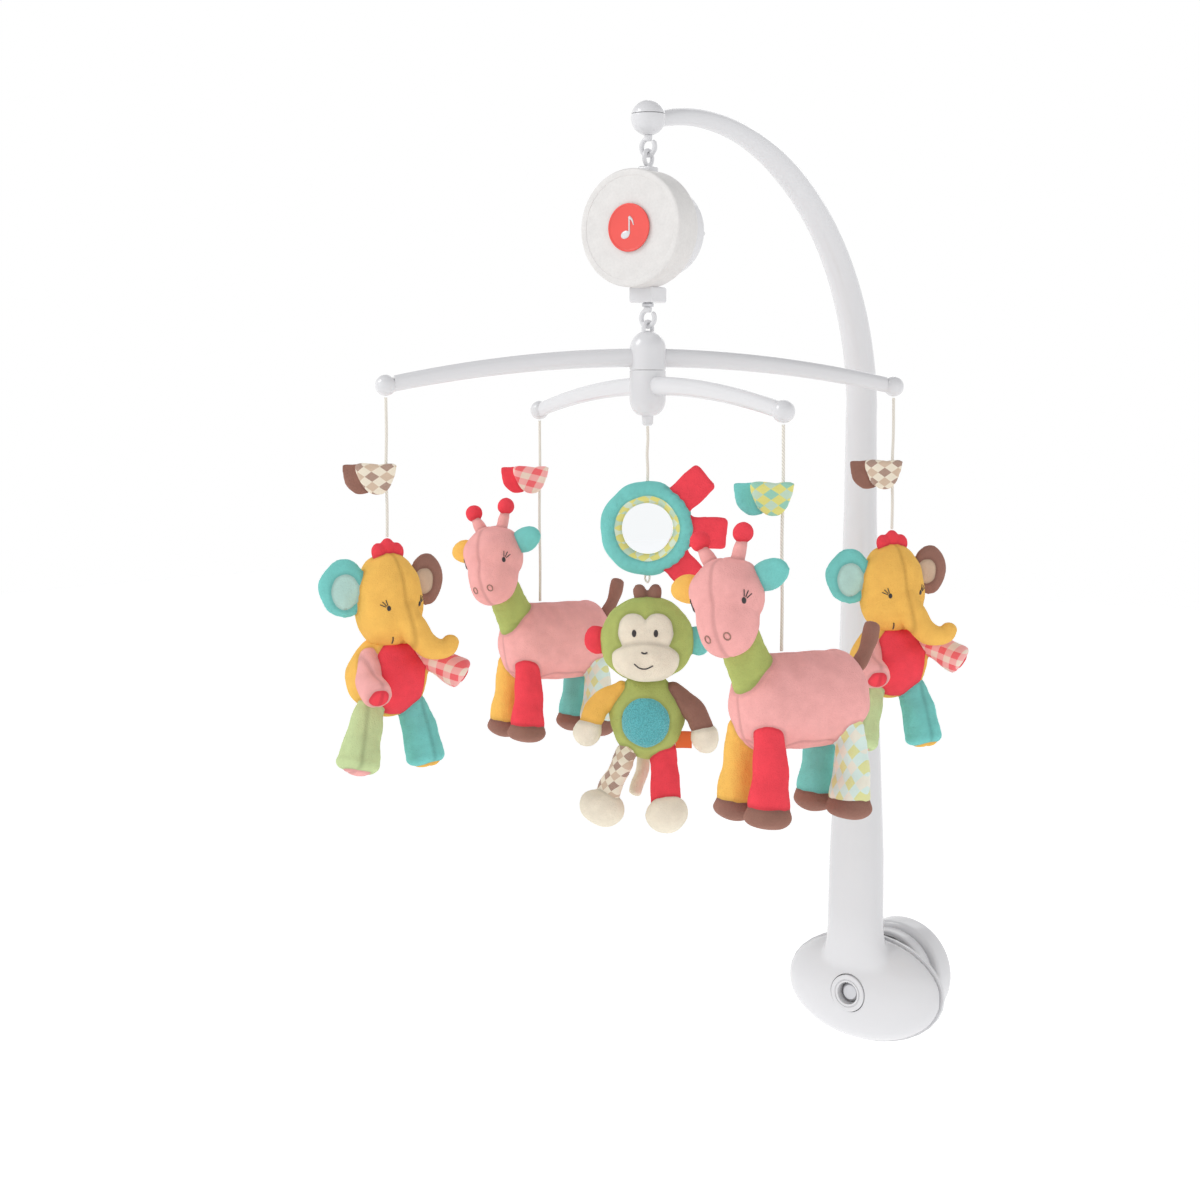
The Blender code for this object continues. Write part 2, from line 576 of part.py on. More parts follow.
# --- Toys: each is modelled facing -Y, with the string on its Z axis and its top at 0 ---------
def make_elephant(name, toy):
    """Sitting elephant: egg head with trunk and two ears, pear body with four limbs."""
    head_radii = Vector((0.0215, 0.0200, 0.0290))
    head_at = Vector((0, 0, -0.036))
    trunk = tube([(0.003, -0.014, -0.044), (0.006, -0.022, -0.053), (0.011, -0.0265, -0.062), (0.019, -0.0275, -0.066),
                  (0.026, -0.0280, -0.065)], (0.0095, 0.0085, 0.0070, 0.0058, 0.0050))
    tuft = egg((0, 0, -0.0070), (0.0100, 0.0040, 0.0068), around=8, along=6)
    ears = [egg((side * 0.0285, 0.0040, -0.026), (0.0140, 0.0045, 0.0150), Matrix.Rotation(side * 0.35, 4, "Z"),
                around=10, along=6) for side in (-1, 1)]
    fused(name + "_head", [egg(head_at, head_radii), trunk, tuft] + ears, "yellow", toy)
    pear = egg((0, 0.002, -0.080), (0.0255, 0.0215, 0.0270))
    arms = [tube([(-0.017, -0.006, -0.067), (-0.022, -0.016, -0.082), (-0.022, -0.023, -0.094)], (0.0065, 0.0080, 0.0092)),
            tube([(0.016, -0.006, -0.066), (0.028, -0.012, -0.074), (0.038, -0.018, -0.081)], (0.0065, 0.0080, 0.0092))]
    legs = [tube([(-0.013, -0.002, -0.096), (-0.021, -0.007, -0.115), (-0.027, -0.010, -0.130)], (0.0085, 0.0105, 0.0125)),
            tube([(0.013, -0.002, -0.096), (0.017, -0.007, -0.115), (0.019, -0.010, -0.130)], (0.0085, 0.0105, 0.0120))]
    clear = egg(head_at, head_radii + Vector((GAP, GAP, GAP)) * 2)
    fused(name + "_body", [pear] + arms + legs, "coral", toy, cuts=[clear])


def make_giraffe(name, toy):
    """Standing giraffe, hung by its back: long head with horns and ears, box body, four legs, tail."""
    rise = GIRAFFE_HORNS - TOY_TOP["giraffe"]

    def at(x, y, z):
        return Vector((x, y, z + rise))

    head_radii = Vector((0.0205, 0.0200, 0.0290))
    tilt = Matrix.Rotation(radians(-20), 4, "X")
    head_at = at(0, -0.037, -0.044)
    horns = [tube([at(side * 0.007, -0.031, -0.022), at(side * 0.012, -0.029, -0.011)], (0.0045, 0.0045), 8) for side in (-1, 1)]
    knobs = [egg(at(side * 0.0130, -0.0285, -0.0065), (0.0062,) * 3, around=8, along=6) for side in (-1, 1)]
    ears = [egg(at(side * 0.0235, -0.029, -0.031), (0.0125, 0.0055, 0.0080), around=8, along=6) for side in (-1, 1)]
    fused(name + "_head", [egg(head_at, head_radii, tilt)] + horns + knobs + ears, "pink", toy)
    sections = ((-0.030, 0.45), (-0.026, 0.80), (-0.016, 1.0), (0.010, 1.0), (0.036, 1.0), (0.048, 0.85), (0.053, 0.50))
    rings = [ring(at(0, y, -0.0977), Vector((1, 0, 0)), Vector((0, 0, 1)), 0.0230 * grow, 0.0270 * grow, 12)
             for y, grow in sections]
    neck = tube([at(0, -0.018, -0.084), at(0, -0.026, -0.066), at(0, -0.031, -0.050)], (0.0135, 0.0115, 0.0105))
    legs = [tube([at(side * 0.0135, y, -0.115), at(side * 0.0150, y, -0.140), at(side * 0.0155, y - 0.002, -0.156)],
                 (0.0085, 0.0100, 0.0125)) for y in (-0.017, 0.037) for side in (-1, 1)]
    tail = tube([at(0, 0.047, -0.086), at(0, 0.057, -0.074), at(0, 0.062, -0.058)], (0.0040, 0.0045, 0.0048), 8)
    clear = egg(head_at, head_radii + Vector((GAP, GAP, GAP)) * 2, tilt)
    fused(name + "_body", [loft(rings), neck] + legs + [tail], "pink", toy, cuts=[clear])


def make_sun(centre):
    """Plush ring with three flaps round a safety mirror."""
    place = Matrix.Translation((0, 0, SUN_RING)) @ FACE_FRONT
    inner = MIRROR_RADIUS + 0.0005
    middle = (SUN_OUTER + inner) / 2
    half = (SUN_OUTER - inner) / 2
    steps = 6
    profile = [(middle + half * cos(2 * pi * i / steps), 0.0065 * sin(2 * pi * i / steps)) for i in range(steps)]
    flaps = []
    for turn in (42, -4, -48):
        outline = [(0.024, -0.009), (0.044, -0.010), (0.049, -0.006), (0.049, 0.006), (0.044, 0.010), (0.024, 0.009)]
        flaps.append(prism(outline, -0.003, 0.003, place @ Matrix.Rotation(radians(turn), 4, "Z")))
    fused("sun_ring", [turned(profile, 20, place)] + flaps, "turquoise", centre)
    piece("sun_mirror", disc(MIRROR_RADIUS, -0.0012, 0.0012, 24, place), "mirror", centre)


def make_monkey(toy):
    """Monkey with a wide head, oval body, bent arms and long legs."""
    head_radii = Vector((0.0265, 0.0215, 0.0255))
    head_at = Vector((0, 0, -0.035))
    muzzle = egg((0, -0.013, -0.045), (0.0185, 0.0120, 0.0110), around=10, along=7)
    ears = [egg((side * 0.0290, 0.002, -0.034), (0.0070, 0.0040, 0.0080), around=8, along=6) for side in (-1, 1)]
    tuft = egg((0, 0, -0.0075), (0.0080, 0.0050, 0.0073), around=8, along=6)
    fused("monkey_head", [egg(head_at, head_radii), muzzle, tuft] + ears, "green", toy)
    trunk = egg((0, 0, -0.081), (0.0235, 0.0185, 0.0285))
    arms = [tube([(-0.016, -0.002, -0.066), (-0.029, -0.004, -0.074), (-0.036, -0.006, -0.088)], (0.0070, 0.0075, 0.0080)),
            tube([(0.016, -0.002, -0.066), (0.029, -0.004, -0.078), (0.036, -0.006, -0.092)], (0.0070, 0.0075, 0.0080))]
    legs = [tube([(-0.010, -0.002, -0.100), (-0.020, -0.006, -0.122), (-0.027, -0.013, -0.139)], (0.0080, 0.0085, 0.0105)),
            tube([(0.010, -0.002, -0.100), (0.012, -0.006, -0.124), (0.012, -0.013, -0.1435)], (0.0080, 0.0085, 0.0100))]
    clear = egg(head_at, head_radii + Vector((GAP, GAP, GAP)) * 2)
    muzzle_clear = egg((0, -0.013, -0.045), (0.0190, 0.0125, 0.0115), around=10, along=7)
    fused("monkey_body", [trunk] + arms + legs, "green", toy, cuts=[clear, muzzle_clear])


# --- Assembly --------------------------------------------------------------------------------
def make_toys(cross):
    """Four strings with their leaves and toys at the arm tips, and the centre string."""
    leaf_finish = {"elephant_left": "beige", "elephant_right": "beige", "giraffe_front": "turquoise", "giraffe_back": "coral"}
    for name, way, at_hub, at_tip, kind, yaw in ARMS:
        tip = make_bar(cross, name, way, at_hub, at_tip)
        hang = empty("hang_" + name, (tip.x, tip.y, 0), parent=cross)
        make_string("string_" + name, at_tip - TIP_RADIUS - GAP, TOY_TOP[kind] + 2 * GAP, hang)
        make_leaf("leaf_" + name, LEAF_TOP[at_tip], leaf_finish[name], hang)
        toy = empty("toy_" + name, (0, 0, TOY_TOP[kind]), yaw, hang)
        if kind == "elephant":
            make_elephant(name, toy)
        else:
            make_giraffe(name, toy)
    make_string("string_centre", NIB_BOTTOM - GAP, SUN_RING + SUN_OUTER + GAP, cross)
    centre = empty("centre", (0, 0, 0), CENTRE_YAW, cross)
    make_sun(centre)
    make_string("string_monkey", SUN_RING - SUN_OUTER - GAP, MONKEY_TOP + GAP, cross)
    make_monkey(empty("toy_monkey", (0, 0, MONKEY_TOP), CENTRE_YAW, cross))


def main():
    for obj in list(bpy.data.objects):
        bpy.data.objects.remove(obj)
    make_clamp()
    make_mast()
    make_arm_end()
    make_grip()
    box = empty("music_box", BALL, BOX_YAW)
    make_box_case(box)
    make_movement(box)
    make_key(box)
    make_spindle(box)
    cross = empty("cross", BALL)
    make_hub(cross)
    make_toys(cross)


main()
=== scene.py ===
"""Looks of the crib mobile: glossy moulded stand, textured music box and sewn plush animals.

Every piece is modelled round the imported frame, whose nodes give the places and sizes.
"""
import json
from math import atan, cos, pi, radians, sin, sqrt

import bpy
import numpy as np
from bpy.props import FloatProperty, FloatVectorProperty, IntProperty, PointerProperty
from mathutils import Euler, Matrix, Vector
from mathutils.bvhtree import BVHTree


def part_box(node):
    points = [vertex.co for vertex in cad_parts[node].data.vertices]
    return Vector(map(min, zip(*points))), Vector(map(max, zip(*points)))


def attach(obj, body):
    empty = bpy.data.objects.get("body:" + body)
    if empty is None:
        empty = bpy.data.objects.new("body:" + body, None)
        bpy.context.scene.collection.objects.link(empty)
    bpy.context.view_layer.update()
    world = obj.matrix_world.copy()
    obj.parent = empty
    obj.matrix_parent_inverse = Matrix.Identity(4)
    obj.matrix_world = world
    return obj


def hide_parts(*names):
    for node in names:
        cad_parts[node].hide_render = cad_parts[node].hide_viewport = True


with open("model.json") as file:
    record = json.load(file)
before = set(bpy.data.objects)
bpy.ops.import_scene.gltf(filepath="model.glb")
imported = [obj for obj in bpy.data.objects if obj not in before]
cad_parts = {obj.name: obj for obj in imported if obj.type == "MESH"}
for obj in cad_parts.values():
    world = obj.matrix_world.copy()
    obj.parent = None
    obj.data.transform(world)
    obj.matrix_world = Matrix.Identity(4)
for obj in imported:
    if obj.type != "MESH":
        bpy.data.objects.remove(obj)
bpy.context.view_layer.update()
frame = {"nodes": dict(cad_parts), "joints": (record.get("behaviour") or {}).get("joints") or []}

bl_info = {
    "name": "Crib mobile looks",
    "version": (1, 0, 0),
    "blender": (4, 5, 0),
    "location": "View3D > Sidebar > Mobile",
    "description": "Models the visible surfaces of a clamp-on crib mobile round its CAD frame",
    "category": "Object",
}

JOINTS = {joint["name"]: joint for joint in frame["joints"]}
ARMS = ("elephant_left", "elephant_right", "giraffe_front", "giraffe_back")
HANG = Vector(JOINTS["spindle_turn"]["pos_m"])      # a point on the axis that the cross turns about


def middle(node):
    """Centre of a CAD node's box."""
    low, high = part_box(node)
    return (Vector(low) + Vector(high)) / 2


def top(node):
    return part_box(node)[1][2]


def bottom(node):
    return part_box(node)[0][2]


def half_size(node):
    low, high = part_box(node)
    return (Vector(high) - Vector(low)) / 2


# --- What a user would change ----------------------------------------------------------------
def colour(name, value):
    return FloatVectorProperty(name=name, description=f"Base colour of the {name.lower()}", default=value,
                               subtype="COLOR", size=3, min=0, max=1)


def length(name, description, default):
    return FloatProperty(name=name, description=description, default=default, unit="LENGTH", min=0)


class MobileColours(bpy.types.PropertyGroup):
    white: colour("White plastic", (0.69, 0.69, 0.705))
    face: colour("Music box face", (0.70, 0.685, 0.67))
    badge: colour("Badge", (0.80, 0.075, 0.06))
    steel: colour("Steel", (0.60, 0.60, 0.62))
    brass: colour("Brass", (0.76, 0.55, 0.26))
    rubber: colour("Rubber", (0.10, 0.10, 0.105))
    cord: colour("Cord", (0.80, 0.76, 0.68))
    yellow: colour("Yellow velour", (0.95, 0.51, 0.115))
    pink: colour("Pink velour", (0.91, 0.42, 0.40))
    coral: colour("Coral velour", (0.87, 0.065, 0.090))
    turquoise: colour("Turquoise velour", (0.19, 0.58, 0.54))
    brown: colour("Brown velour", (0.30, 0.150, 0.115))
    olive: colour("Olive velour", (0.42, 0.48, 0.145))
    green: colour("Light green velour", (0.55, 0.66, 0.34))
    pale: colour("Pale turquoise knit", (0.46, 0.68, 0.62))
    mist: colour("Mist blue print", (0.66, 0.80, 0.74))
    lemon: colour("Lemon print", (0.74, 0.70, 0.22))
    cream: colour("Cream velour", (0.84, 0.76, 0.62))
    beige: colour("Beige knit", (0.60, 0.43, 0.31))
    aqua: colour("Belly fleece", (0.13, 0.53, 0.57))
    thread: colour("Dark thread", (0.022, 0.018, 0.020))
    tag: colour("Ribbon tag", (0.86, 0.16, 0.030))


class MobileSizes(bpy.types.PropertyGroup):
    voxel: length("Voxel", "Grid that the plush skins are grown on", 0.00115)
    seam_width: length("Seam width", "Half width of the groove at a sewn seam", 0.0011)
    seam_depth: length("Seam depth", "Depth of the groove at a sewn seam", 0.00038)
    check: length("Check", "Side of a printed square", 0.0042)
    distance: length("Camera distance", "Level distance from the hanging axis to the camera", 1.26)
    camera_rise: length("Camera height", "Height of the camera over the frame's origin", 0.3985)
    azimuth: FloatProperty(name="Azimuth", description="Camera direction, from facing along the rail's +Y",
                           default=radians(37), subtype="ANGLE")
    tilt: FloatProperty(name="Tilt", description="Downward tilt of the camera", default=radians(5.4),
                        subtype="ANGLE")
    lens: FloatProperty(name="Lens", description="Focal length in millimetres", default=61.9, min=10)
    facets: IntProperty(name="Facets", description="Steps round a turned plastic piece", default=64, min=16)


def colours():
    return bpy.context.scene.mobile_colours


def sizes():
    return bpy.context.scene.mobile_sizes


def paint(name):
    return tuple(getattr(colours(), name))


# --- Shader maths ----------------------------------------------------------------------------
class Value:
    """A shader number: arithmetic on it adds Math nodes."""

    def __init__(self, graph, socket):
        self.graph = graph
        self.socket = socket

    def math(self, operation, *others):
        node = self.graph.node("ShaderNodeMath", {"operation": operation})
        for slot, item in zip(node.inputs, (self, *others)):
            self.graph.feed(slot, item)
        return Value(self.graph, node.outputs[0])

    def __add__(self, other):
        return self.math("ADD", other)

    __radd__ = __add__

    def __mul__(self, other):
        return self.math("MULTIPLY", other)

    __rmul__ = __mul__

    def __sub__(self, other):
        return self.math("SUBTRACT", other)

    def __rsub__(self, other):
        return (self * -1) + other

    def __gt__(self, other):
        return self.math("GREATER_THAN", other)


class Graph:
    """A material under construction, with its Principled shader."""

    def __init__(self, name, base, roughness, **fixed):
        self.material = bpy.data.materials.new(name)
        self.material.use_nodes = True
        self.tree = self.material.node_tree
        self.shader = self.tree.nodes["Principled BSDF"]
        self.shader.inputs["Base Color"].default_value = (*base, 1)
        self.shader.inputs["Roughness"].default_value = roughness
        for socket, value in fixed.items():
            self.shader.inputs[socket.replace("_", " ")].default_value = value

    def node(self, kind, settings=None, **inputs):
        made = self.tree.nodes.new(kind)
        for key, value in (settings or {}).items():
            setattr(made, key, value)
        for key, value in inputs.items():
            self.feed(made.inputs[key.replace("_", " ")], value)
        return made

    def feed(self, socket, item):
        if isinstance(item, Value):
            item = item.socket
        if isinstance(item, bpy.types.NodeSocket):
            self.tree.links.new(item, socket)
        else:
            socket.default_value = item

    def value(self, node, output=0):
        return Value(self, node.outputs[output])

    def place(self):
        return self.node("ShaderNodeTexCoord").outputs["Object"]

    def noise(self, scale, detail=2.0, stretch=None):
        where = self.place()
        if stretch:
            where = self.node("ShaderNodeMapping", Vector=where, Scale=stretch).outputs[0]
        return self.value(self.node("ShaderNodeTexNoise", Vector=where, Scale=scale, Detail=detail), "Fac")

    def mix(self, share, first, second):
        """Blend of two colours."""
        node = self.node("ShaderNodeMix", {"data_type": "RGBA"})
        for socket, item in zip((node.inputs[0], node.inputs[6], node.inputs[7]), (share, first, second)):
            if isinstance(item, tuple) and len(item) == 3:
                item = (*item, 1)
            self.feed(socket, item)
        return node.outputs[2]

    def colour(self, item):
        self.feed(self.shader.inputs["Base Color"], item)

    def roughness(self, item):
        self.feed(self.shader.inputs["Roughness"], item)

    def bump(self, height, distance, strength=1.0):
        node = self.node("ShaderNodeBump", Height=height, Distance=distance, Strength=strength)
        self.feed(self.shader.inputs["Normal"], node.outputs[0])


def shade(base, factor):
    return tuple(min(1, channel * factor) for channel in base)


def once(maker):
    """Keeps one material for each set of arguments."""
    made = {}

    def keeper(*key):
        if key not in made:
            made[key] = maker(*key)
        return made[key]
    return keeper


@once
def plastic():
    """Glossy moulded plastic with faint flow marks and handling haze."""
    base = paint("white")
    graph = Graph("white_plastic", base, 0.2, Coat_Weight=0.25, Coat_Roughness=0.08)
    haze = graph.noise(28, 3)
    graph.roughness(0.14 + haze * 0.13)
    graph.colour(graph.mix(graph.noise(9), shade(base, 0.985), shade(base, 1.01)))
    graph.bump(graph.noise(45, 2), 0.00006, 0.25)
    return graph.material


@once
def stone_face():
    """Matt face with the fine mottled grain of imitation stone."""
    base = paint("face")
    graph = Graph("textured_white_plastic", base, 0.55)
    where = graph.place()
    fleck = graph.value(graph.node("ShaderNodeTexVoronoi", {"feature": "F1"}, Vector=where, Scale=620.0),
                        "Distance")
    grain = graph.noise(900, 4)
    cloud = graph.noise(130, 3)
    graph.colour(graph.mix(cloud * 0.8 + fleck * 0.35, shade(base, 0.90), shade(base, 1.09)))
    graph.roughness(0.42 + grain * 0.25)
    graph.bump(fleck + grain * 0.6, 0.00010, 0.4)
    return graph.material


@once
def metal(name):
    """Turned steel or brass with fine tool marks."""
    base = paint(name)
    graph = Graph(name, base, 0.3, Metallic=1.0)
    graph.roughness(0.2 + graph.noise(60, 4) * 0.25)
    graph.colour(graph.mix(graph.noise(35), shade(base, 0.9), shade(base, 1.05)))
    graph.bump(graph.noise(1500, 2, (1, 12, 1)), 0.00003, 0.4)
    return graph.material


@once
def rubber():
    """Matt pad with a fine pebbled grip."""
    base = paint("rubber")
    graph = Graph("grey_rubber", base, 0.85)
    graph.bump(graph.noise(1100, 3), 0.0001, 0.8)
    graph.colour(graph.mix(graph.noise(50), shade(base, 0.85), shade(base, 1.25)))
    return graph.material


@once
def badge_finish():
    """Satin printed disc."""
    base = paint("badge")
    graph = Graph("coral_badge", base, 0.4, Coat_Weight=0.3)
    graph.colour(graph.mix(graph.noise(80), shade(base, 0.93), shade(base, 1.07)))
    graph.roughness(0.33 + graph.noise(300) * 0.15)
    return graph.material


@once
def mirror_finish():
    """Acrylic safety mirror with a trace of haze."""
    graph = Graph("mirror", (0.92, 0.94, 0.95), 0.03, Metallic=1.0)
    graph.roughness(0.02 + graph.noise(18, 3) * 0.05)
    return graph.material


@once
def cord_finish():
    """Twisted cotton: slanted strands along the cord."""
    base = paint("cord")
    graph = Graph("off_white_cord", base, 0.9, Sheen_Weight=0.3)
    strand = graph.value(graph.node("ShaderNodeTexWave", {"bands_direction": "DIAGONAL"},
                                    Vector=graph.place(),
                                    Scale=330.0, Distortion=1.5), "Fac")
    graph.colour(graph.mix(strand, shade(base, 0.82), shade(base, 1.12)))
    graph.bump(strand + graph.noise(4000), 0.00018, 0.8)
    return graph.material


def pile(graph, base, depth, shade_in_seams=True):
    """Short brushed pile: fine nap, soft patches where it leans, and painted shade that darkens the colour in
    the seam grooves.
    """
    nap = graph.noise(1300, 5)
    lean = graph.noise(150, 4)
    tint = graph.mix(lean * 0.75 + nap * 0.35, shade(base, 0.80), shade(base, 1.16))
    # Painted shade: along the seam mask the colour darkens toward half its value, standing in for the shade
    # in the pressed-in seam grooves.
    if shade_in_seams:
        seam = graph.value(graph.node("ShaderNodeAttribute", {"attribute_name": "seam"}), "Fac")
        tint = graph.mix(seam * 0.5, tint, shade(base, 0.5))
    graph.colour(tint)
    graph.roughness(0.82 + lean * 0.16)
    graph.bump(nap + lean * 0.5, depth, 0.9)


@once
def velour(name):
    base = paint(name)
    graph = Graph(name + "_velour", base, 0.9, Sheen_Weight=0.6, Sheen_Roughness=0.4,
                  Specular_IOR_Level=0.15)
    graph.shader.inputs["Sheen Tint"].default_value = (*shade(base, 1.3), 1)
    pile(graph, base, 0.0006)
    return graph.material


@once
def fleece(name):
    """Curly fleece, coarser than the velour."""
    base = paint(name)
    graph = Graph(name + "_fleece", base, 0.95, Sheen_Weight=0.5, Specular_IOR_Level=0.1)
    curl = graph.value(graph.node("ShaderNodeTexVoronoi", Vector=graph.place(), Scale=1050.0), "Distance")
    graph.colour(graph.mix(curl + graph.noise(500, 4) * 0.4, shade(base, 1.15), shade(base, 0.72)))
    graph.bump(curl, -0.0007, 0.9)
    return graph.material


@once
def print_cloth(title, ground, ink, second, turn=(0, 0, 0), diamond=False):
    """Printed jersey: squares or diamonds in two inks on a ground, over a fine knit."""
    ground, ink, second = (paint(name) for name in (ground, ink, second))
    graph = Graph(title, ground, 0.85, Sheen_Weight=0.25, Specular_IOR_Level=0.15)
    place = graph.node("ShaderNodeMapping", {"vector_type": "TEXTURE"}, Vector=graph.place(),
                       Rotation=Euler(turn)).outputs[0]
    split = graph.node("ShaderNodeSeparateXYZ", Vector=place)
    across, up = graph.value(split, "X"), graph.value(split, "Z")
    if diamond:
        across, up = across * 0.85 + up * 0.5, across * 0.85 - up * 0.5
    step = pi / sizes().check
    first, other = (across * step).math("SINE"), (up * step).math("SINE")
    squares = (first * other) > 0.0
    stripes = (first > 0.0) * (other > 0.0)
    tint = graph.mix(squares, ground, ink)
    tint = graph.mix(stripes, tint, second)
    knit = graph.noise(2200, 3)
    graph.colour(graph.mix(knit * 0.45, tint, ground))
    graph.bump(knit, 0.0002, 0.7)
    return graph.material


@once
def embroidery(name):
    """Satin stitch: close parallel threads with a soft shine."""
    base = paint(name)
    graph = Graph(name + "_stitch", base, 0.5, Sheen_Weight=0.2)
    stitch = graph.value(graph.node("ShaderNodeTexWave", {"bands_direction": "X"}, Vector=graph.place(),
                                    Scale=900.0, Distortion=0.6), "Fac")
    graph.colour(graph.mix(stitch, shade(base, 0.7), shade(base, 1.5)))
    graph.bump(stitch, 0.0001, 0.7)
    return graph.material


@once
def ribbon():
    """Woven ribbon, blank."""
    base = paint("tag")
    graph = Graph("orange_tag", base, 0.7, Sheen_Weight=0.3)
    weave = graph.value(graph.node("ShaderNodeTexWave", {"bands_direction": "Z"}, Vector=graph.place(),
                                   Scale=700.0, Distortion=0.3), "Fac")
    graph.colour(graph.mix(weave, shade(base, 0.85), shade(base, 1.12)))
    graph.bump(weave, 0.0001, 0.6)
    return graph.material


# --- Modelling helpers -----------------------------------------------------------------------
EYE_RADIUS = 0.0058      # outside radius of a hook's eye


def lone(obj):
    """Make obj the only selected and active object."""
    unselect()
    obj.select_set(True)
    bpy.context.view_layer.objects.active = obj
    return obj


def added():
    """The object that the last add operator made."""
    return bpy.context.active_object


def unselect():
    bpy.ops.object.select_all(action="DESELECT")


def freeze():
    """Apply the active object's transform to its mesh."""
    bpy.ops.object.transform_apply(location=True, rotation=True, scale=True)


def eye_loop(place):
    """A moulded ring that stands upright across X, for a hook to pass through."""
    unselect()
    bpy.ops.mesh.primitive_torus_add(major_segments=48, minor_segments=16, major_radius=0.0045,
                                     minor_radius=0.0013,
                                     location=place, rotation=(0, pi / 2, 0))
    ring = added()
    freeze()
    return ring


def settle(obj, name, place=Matrix()):
    """Bake obj's transform and place into its mesh, so that it sits at the origin, and name it."""
    obj.data.transform(place @ obj.matrix_world)
    obj.matrix_world = Matrix()
    obj.name = obj.data.name = name
    return obj


def apply_modifier(obj, kind, **settings):
    lone(obj)
    modifier = obj.modifiers.new(kind.title(), kind)
    for key, value in settings.items():
        setattr(modifier, key, value)
    bpy.ops.object.modifier_apply(modifier=modifier.name)


def join(objects):
    unselect()
    for obj in objects:
        obj.select_set(True)
    bpy.context.view_layer.objects.active = objects[0]
    bpy.ops.object.join()
    return objects[0]


def smooth(obj, angle=radians(35)):
    lone(obj)
    bpy.ops.object.shade_smooth_by_angle(angle=angle)
    return obj


def tidy_mesh(obj):
    """Merge doubles and turn the faces outward."""
    lone(obj)
    bpy.ops.object.mode_set(mode="EDIT")
    bpy.ops.mesh.select_all(action="SELECT")
    bpy.ops.mesh.remove_doubles(threshold=0.00001)
    bpy.ops.mesh.normals_make_consistent(inside=False)
    bpy.ops.object.mode_set(mode="OBJECT")
    return obj


def spun(name, profile, place, steps=None):
    """A turned piece: a vertex is extruded along the profile of radius and height, then spun about Z."""
    unselect()
    bpy.ops.mesh.primitive_plane_add(size=1)
    obj = added()
    bpy.ops.object.mode_set(mode="EDIT")
    bpy.ops.mesh.merge(type="CENTER")
    bpy.ops.transform.translate(value=(profile[0][0], 0, profile[0][1]))
    for (r0, z0), (r1, z1) in zip(profile, profile[1:]):
        bpy.ops.mesh.extrude_region_move(TRANSFORM_OT_translate={"value": (r1 - r0, 0, z1 - z0)})
    bpy.ops.mesh.select_all(action="SELECT")
    bpy.ops.mesh.spin(steps=steps or sizes().facets, angle=2 * pi, center=(0, 0, 0), axis=(0, 0, 1))
    bpy.ops.mesh.select_all(action="SELECT")
    bpy.ops.mesh.remove_doubles(threshold=0.00002)
    bpy.ops.mesh.normals_make_consistent(inside=False)
    bpy.ops.object.mode_set(mode="OBJECT")
    settle(obj, name, place)
    return smooth(obj)


def rounded(profile, radius, steps=4):
    """Round a profile's inner corners with short arcs."""
    out = [profile[0]]
    for before, at, after in zip(profile, profile[1:], profile[2:]):
        at, into, onward = Vector(at), Vector(before) - Vector(at), Vector(after) - Vector(at)
        reach = min(radius, into.length * 0.45, onward.length * 0.45)
        start, end = at + into.normalized() * reach, at + onward.normalized() * reach
        for i in range(steps + 1):
            share = i / steps
            out.append(tuple(start * (1 - share) ** 2 + at * 2 * share * (1 - share) + end * share ** 2))
    return out + [profile[-1]]


def rod(name, points, radii, resolution=6, cyclic=False):
    """A round bar along a smooth curve, closed at its ends, as a mesh."""
    unselect()
    bpy.ops.curve.primitive_nurbs_path_add()
    obj = added()
    curve = obj.data
    curve.splines.clear()
    spline = curve.splines.new("POLY")
    spline.points.add(len(points) - 1)
    for knot, point, radius in zip(spline.points, points, radii):
        knot.co = (*point, 1)
        knot.radius = radius
    spline.use_cyclic_u = cyclic
    curve.dimensions = "3D"
    curve.bevel_depth = 1
    curve.bevel_resolution = resolution
    curve.use_fill_caps = True
    lone(obj)
    bpy.ops.object.convert(target="MESH")
    obj = added()
    settle(obj, name)
    tidy_mesh(obj)
    return smooth(obj)


def along(points, count):
    """Points evenly spread by parameter on a smooth curve through the given ones."""
    points = [Vector(p) for p in points]
    ends = [points[0] * 2 - points[1]] + points + [points[-1] * 2 - points[-2]]
    out = []
    for i in range(count):
        t = (len(points) - 1) * i / (count - 1)
        k = min(int(t), len(points) - 2)
        u = t - k
        a, b, c, d = ends[k:k + 4]
        out.append(0.5 * ((2 * b) + (c - a) * u + (2 * a - 5 * b + 4 * c - d) * u ** 2 + (3 * b - a - 3 * c + d) * u ** 3))
    return out


def dress(obj, body, slot, material, *nodes):
    """Ride obj on its body, give it a finish and hide the CAD nodes it stands for."""
    if material is not None:
        obj.data.materials.clear()
        obj.data.materials.append(material)
    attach(obj, body)
    if nodes:
        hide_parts(*nodes)
    return obj


def moulded(obj, body, *nodes):
    return dress(obj, body, "white_plastic", plastic(), *nodes)


def repaint(material, *nodes):
    """A better finish on CAD nodes that keep their shape."""
    for node in nodes:
        data = frame["nodes"][node].data
        data.materials.clear()
        data.materials.append(material)


# --- Stand and clamp -------------------------------------------------------------------------
FRONT = Matrix.Rotation(pi / 2, 4, "X")       # a turned piece's +Z becomes -Y
BACK = Matrix.Rotation(-pi / 2, 4, "X")       # a turned piece's +Z becomes +Y


def mast_levels():
    """Level, half width and fore-and-aft span of the lower mast, over the clamp screw."""
    return ((0.010, 0.0350, 0.0255, 0.0040), (0.020, 0.0300, 0.0285, 0.0044),
            (0.028, 0.0262, 0.0306, 0.0048),
            (0.036, 0.0234, 0.0325, 0.0050), (0.045, 0.0219, 0.0344, 0.0044),
            (0.056, 0.0213, 0.0356, 0.0036),
            (0.100, 0.0203, 0.0362, 0.0018), (0.155, 0.0175, 0.0356, 0.0024),
            (0.210, 0.0146, 0.0348, 0.0032), (0.240, 0.0139, 0.0340, 0.0039))


